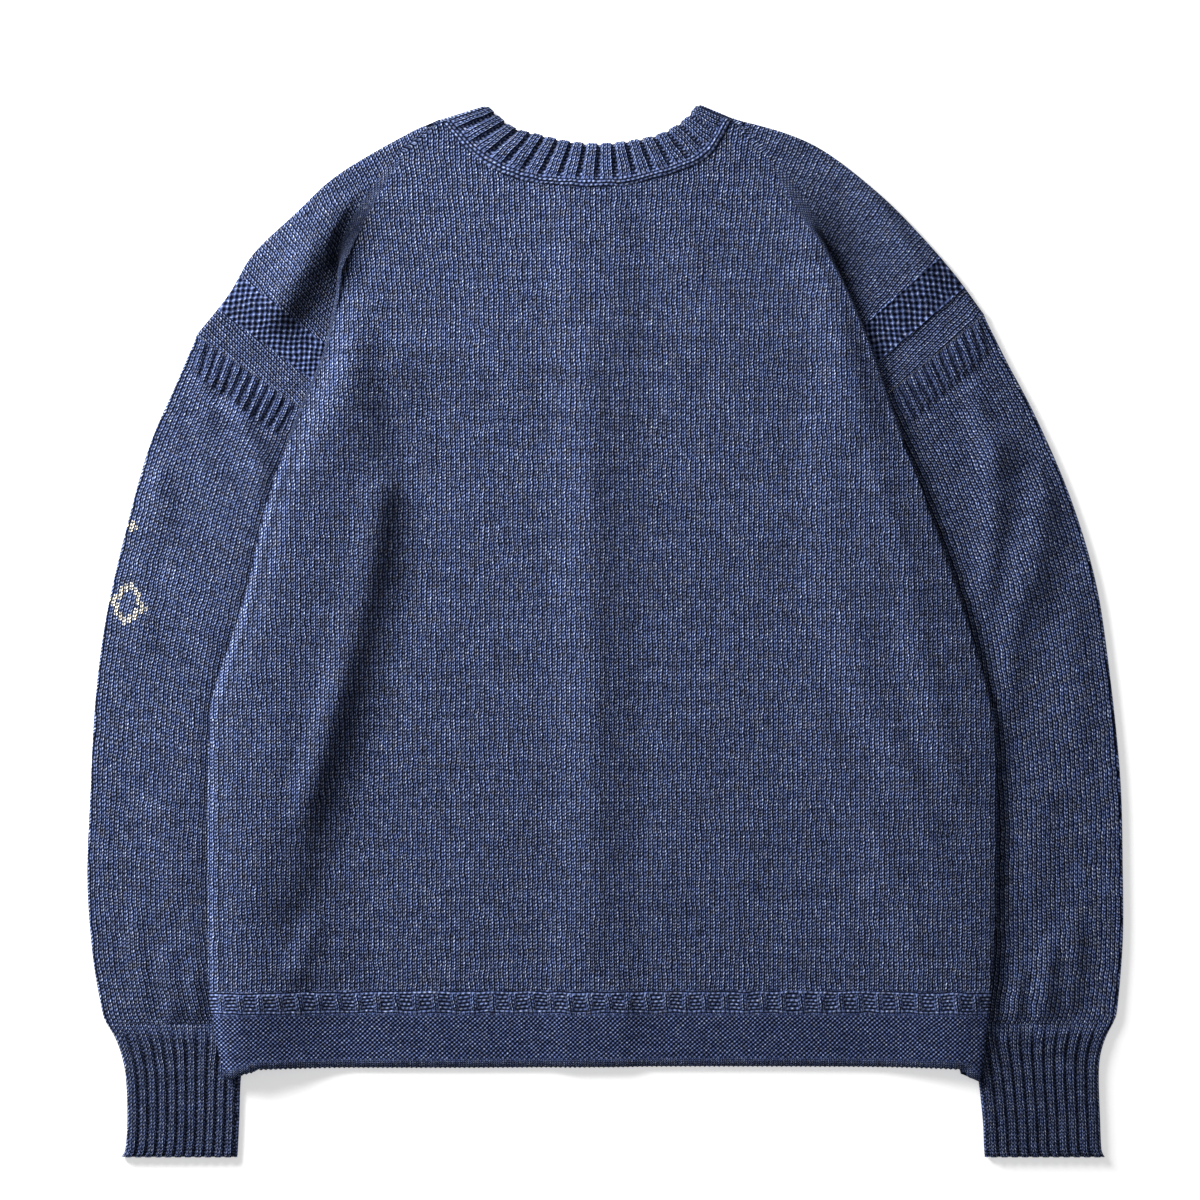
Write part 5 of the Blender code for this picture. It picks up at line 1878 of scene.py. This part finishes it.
@dataclass
class Front:
    """One front, face down under the back, with its welt."""

    side: Side
    finish: bpy.types.Material
    flap_columns: int = 34
    middle_columns: int = 30
    rows: int = 90
    high_rows: int = 40
    wing_columns: int = 30
    welt_rows: int = 22
    welt_gap: float = 0.1
    bar_foot: float = -283.0
    slit: float = 2.0

    def flap(self, heights: Array) -> Array:
        """Rows at these heights: from the body's edge over the sleeve to the foot of the slope, and on to the
        front edge.

        Args:
            heights: The rows' heights.

        Returns:
            The rows in plan.
        """
        edges = body_edge_at(self.side, heights)
        foot = edges.copy()
        foot[:, 0] = inner_fold(self.side, heights) - self.side.value * CLOTH.slope_end
        ends = foot.copy()
        ends[:, 0] = front_edge(self.side)
        over = np.linspace(0, 1, self.flap_columns) ** 1.3
        beside = np.linspace(0, 1, self.middle_columns + 1)[1:]
        return np.hstack([between(edges, foot, over), between(foot, ends, beside)])

    def low_grid(self, plan: Array) -> KnitGrid:
        """The part beside and under the sleeve.

        Args:
            plan: Its rows in plan.

        Returns:
            The grid.
        """
        height = front_level(plan, self.side) + side_lift(plan)
        fall = edge_fall(plan, body_edge(self.side, 0, -2))
        return flat_grid(plan, height, -1, straight_stitches(plan), -fall)

    def high_grid(self, base: Array) -> KnitGrid:
        """The part that runs straight up from a row to the neck, while the lift over the sleeve fades.

        Args:
            base: The row that it starts from.

        Returns:
            The grid.
        """
        shares = np.linspace(0, 1, self.high_rows)
        top = along(curve(FRONT_SEAM[self.side]), np.linspace(0, 1, len(base)))
        top[-1, 0] = front_edge(self.side)
        plan = base[None] + shares[:, None, None] * (top - base)[None]
        fading = side_lift(base)[None] * (1 - shares[:, None]) ** 3
        return flat_grid(plan, front_level(plan, self.side) + fading, -1, straight_stitches(plan))

    def wing_grid(self, body: KnitGrid, bend_at: Array) -> KnitGrid:
        """The wing: straight rows from the part above the slope to the shoulder's outline. The first one
        bends to the underarm and the outline's corner, the last one to the outline.

        Args:
            body: The part above the slope.
            bend_at: Where the lowest row of that part starts.

        Returns:
            The grid.
        """
        shares, outline = np.linspace(0, 1, self.high_rows), curve(SHOULDER[self.side])
        underarm = np.array(UNDERARM[self.side], float)
        close = [0.97, 0.985, 1.0]
        across = np.concatenate([np.linspace(0, 0.95, self.wing_columns - len(close)), close])
        inner = body.outer[:, 0, :2]
        straight = between(inner, along(outline, shares * WING_SHARE), across)
        to_underarm = np.clip(across / 0.25, 0, 1)[:, None]
        to_corner = np.clip((across - 0.25) / 0.75, 0, 1)[:, None]
        low_line = bend_at + to_underarm * (underarm - bend_at) + to_corner * (outline[0] - underarm)
        low_bend = low_line - straight[0]
        top_bend = along(outline, 1 + across * (WING_SHARE - 1)) - straight[-1]
        top_bend[0] = 0
        near_low, near_top = ((share**2)[:, None, None] for share in (1 - shares, shares))
        plan = straight + near_low * low_bend + near_top * top_bend
        plan[:, 0] = inner
        fall = edge_fall(plan, outline)
        fall[:, 0] = 0
        wing = flat_grid(plan, front_level(plan, self.side), -1, straight_stitches(plan), -fall)
        wing.outer[:, 0], wing.inner[:, 0] = body.outer[:, 0], body.inner[:, 0]
        return wing

    def build(self) -> bpy.types.Object:
        """Builds the panel: the flap, the part above it that runs to the neck, and the wing."""
        plan = self.flap(np.linspace(WELT_TOP + 0.1, float(UNDERARM[self.side][1]), self.rows))
        bend = self.flap_columns - 1
        bend_at = plan[-1, bend].copy()
        plan[-1, : bend + 1, 1] -= self.slit * np.linspace(1, 0, bend + 1) ** 0.3
        high = self.high_grid(plan[-1, bend:])
        grids = [self.low_grid(plan), high, self.wing_grid(high, bend_at)]
        return knit_wall(f"front_{self.side.word}", grids, self.finish)

    def build_welt(self) -> bpy.types.Object:
        """Builds the welt under the front, of moss stitch."""
        heights = np.linspace(WELT_TOP - self.welt_gap, BODY_EDGES[-1][0], self.welt_rows)
        plan = bend_to_hem(self.flap(heights))
        fall = edge_fall(plan, body_edge(self.side, -4), curve(HEM_HEIGHTS))
        height = front_level(plan, self.side) + side_lift(plan)
        moss = smooth(self.bar_foot, self.bar_foot - 3, plan[..., 1])
        grid = flat_grid(plan, height, -1, straight_stitches(plan), -fall, moss=moss)
        return knit_wall(f"front_welt_{self.side.word}", [grid], self.finish)


@dataclass
class Button:
    """One turned horn button, face down: a raised rim round a dish with four holes."""

    number: int
    height: float
    finish: bpy.types.Material
    radius: float = 7.5
    thick: float = 2.0
    rim: float = 1.6
    dish: float = 0.5
    least: float = 0.25
    hole_away: float = 2.1
    hole_radius: float = 0.95
    hole_depth: float = 1.2
    hole_turns: tuple[float, ...] = (0.785, 2.356, 3.927, 5.498)
    around: int = 72

    def build(self) -> bpy.types.Object:
        """Builds the button: its profile is turned about its middle, and the dish is pressed in at four
        places by soft steps of the distance from each hole."""
        profile = [(self.least, self.thick), (self.radius - 0.3, self.thick), (self.radius, self.thick - 0.3)]
        profile += [(self.radius, 0.4), (self.radius - 0.4, 0.0), (self.radius - self.rim, 0.0)]
        dished = np.linspace(self.radius - self.rim - 0.6, self.least, 16)
        profile = np.vstack([profile, np.column_stack([dished, np.full(len(dished), self.dish)])])
        turn = np.linspace(0, 2 * math.pi, self.around, endpoint=False)
        x, y = profile[:, :1] * np.cos(turn), profile[:, :1] * np.sin(turn)
        holes = [(self.hole_away * math.cos(a), self.hole_away * math.sin(a)) for a in self.hole_turns]
        near = np.min([np.hypot(x - a, y - b) for a, b in holes], axis=0)
        in_dish = np.arange(len(profile))[:, None] >= len(profile) - len(dished)
        pressed = smooth(self.hole_radius, self.hole_radius * 0.55, near)
        z = profile[:, 1:] + in_dish * self.hole_depth * pressed
        points = np.dstack([x + OPENING_MIDDLE, y + self.height, z]).reshape(-1, 3) * MM
        number = np.arange(len(points)).reshape(z.shape)
        after = np.roll(number, -1, axis=1)
        faces = np.stack([number[1:], after[1:], after[:-1], number[:-1]], axis=-1).reshape(-1, 4)
        mesh = bpy.data.meshes.new(f"button_{self.number}_turned")
        caps = [number[0].tolist(), number[-1][::-1].tolist()]
        mesh.from_pydata(points.tolist(), [], faces.tolist() + caps)
        return settle(mesh, self.finish, 35.0, f"button_{self.number}")


@dataclass
class Studio:
    """The plain pale floor, the soft light and the camera straight above."""

    field: float = 0.9
    centre: tuple[float, float] = (-0.00375, 0.02325)
    distance: float = 2.6
    reach: float = 3.0
    floor_drop: float = 0.0004
    sky: float = 0.17

    def floor(self) -> None:
        """Lays a pale floor just under the cloth."""
        mesh = bpy.data.meshes.new("floor")
        corners = ((-1, -1), (1, -1), (1, 1), (-1, 1))
        points = [(x * self.reach, y * self.reach, -self.floor_drop) for x, y in corners]
        mesh.from_pydata(points, [], [(0, 1, 2, 3)])
        tree = Tree("pale_floor")
        tree.shader.inputs["Base Color"].default_value = (0.93, 0.93, 0.93, 1.0)
        tree.shader.inputs["Roughness"].default_value = 0.9
        tree.shader.inputs["Emission Color"].default_value = (1.0, 1.0, 1.0, 1.0)
        tree.shader.inputs["Emission Strength"].default_value = 0.45
        mesh.materials.append(tree.material)
        put_in_scene("floor", mesh)

    def lamp(self, name: str, place: tuple[float, float, float], size: float, power: float) -> None:
        """Hangs a square lamp that points at the garment.

        Args:
            name: Its name.
            place: Where it hangs, in metres.
            size: The length of its sides.
            power: Its power in watts.
        """
        light = bpy.data.lights.new(name, "AREA")
        light.size = size
        light.energy = power
        lamp = put_in_scene(name, light)
        lamp.location = place
        x, y, z = place
        lamp.rotation_euler = (math.atan2(math.hypot(x, y), z), 0, math.atan2(-y, -x) - math.pi / 2)

    def build(self) -> None:
        """Sets up the floor, the light and the camera."""
        self.floor()
        self.lamp("key", (-1.27, 1.05, 0.72), 0.9, 84.0)
        self.lamp("overhead", (0.2, -0.1, 2.9), 2.2, 8.0)
        scene = bpy.context.scene
        scene.view_settings.view_transform = "Standard"
        scene.world = bpy.data.worlds.new("studio")
        scene.world.use_nodes = True
        sky = scene.world.node_tree.nodes["Background"]
        sky.inputs["Color"].default_value = (1.0, 1.0, 1.0, 1.0)
        sky.inputs["Strength"].default_value = self.sky
        camera = bpy.data.cameras.new("camera")
        camera.sensor_width = 36.0
        camera.lens = camera.sensor_width * self.distance / self.field
        scene.camera = put_in_scene("camera", camera)
        scene.camera.location = (*self.centre, self.distance)


def main() -> None:
    """Builds the garment piece by piece and sets up the studio; the call that would declare its cloth does
    nothing.
    """
    logging.basicConfig(level=logging.INFO, format="%(name)s: %(message)s")
    wool = BlueWool().material("blue_wool")
    diamonds = (Diamond(0, -49, 1, 0), Diamond(3, -68, 4, 3))
    marked = BlueWool(diamonds=diamonds).material("marked_wool")
    band_wool = BlueWool(on_object=True).material("band_wool")
    horn = Horn().material()

    back = Back(wool)
    made = {"back": back.build(), "back_welt": Welt(wool).build()}
    made["neckband"] = Neckband(wool, back.neck).build()
    for side in Side:
        front = Front(side, wool)
        made[f"sleeve_{side.word}"] = Sleeve(side, marked if side is Side.LEFT else wool).build()
        made[f"cuff_{side.word}"] = Cuff(side, wool).build()
        made[f"front_{side.word}"] = front.build()
        made[f"front_welt_{side.word}"] = front.build_welt()
        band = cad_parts[f"button_band_{side.word}"]
        band.data.materials.clear()
        band.data.materials.append(band_wool)
        made[band.name] = band
    for number, height in enumerate(np.linspace(-306.0, 298.0, 7), 1):
        made[f"button_{number}"] = Button(number, float(height), horn).build()
    for name, piece in made.items():
        if name in CUTS:
            CUTS[name].declare(piece)
        log.info("%s: %d faces", name, len(piece.data.polygons))
    Studio().build()


if __name__ == "__main__":
    main()
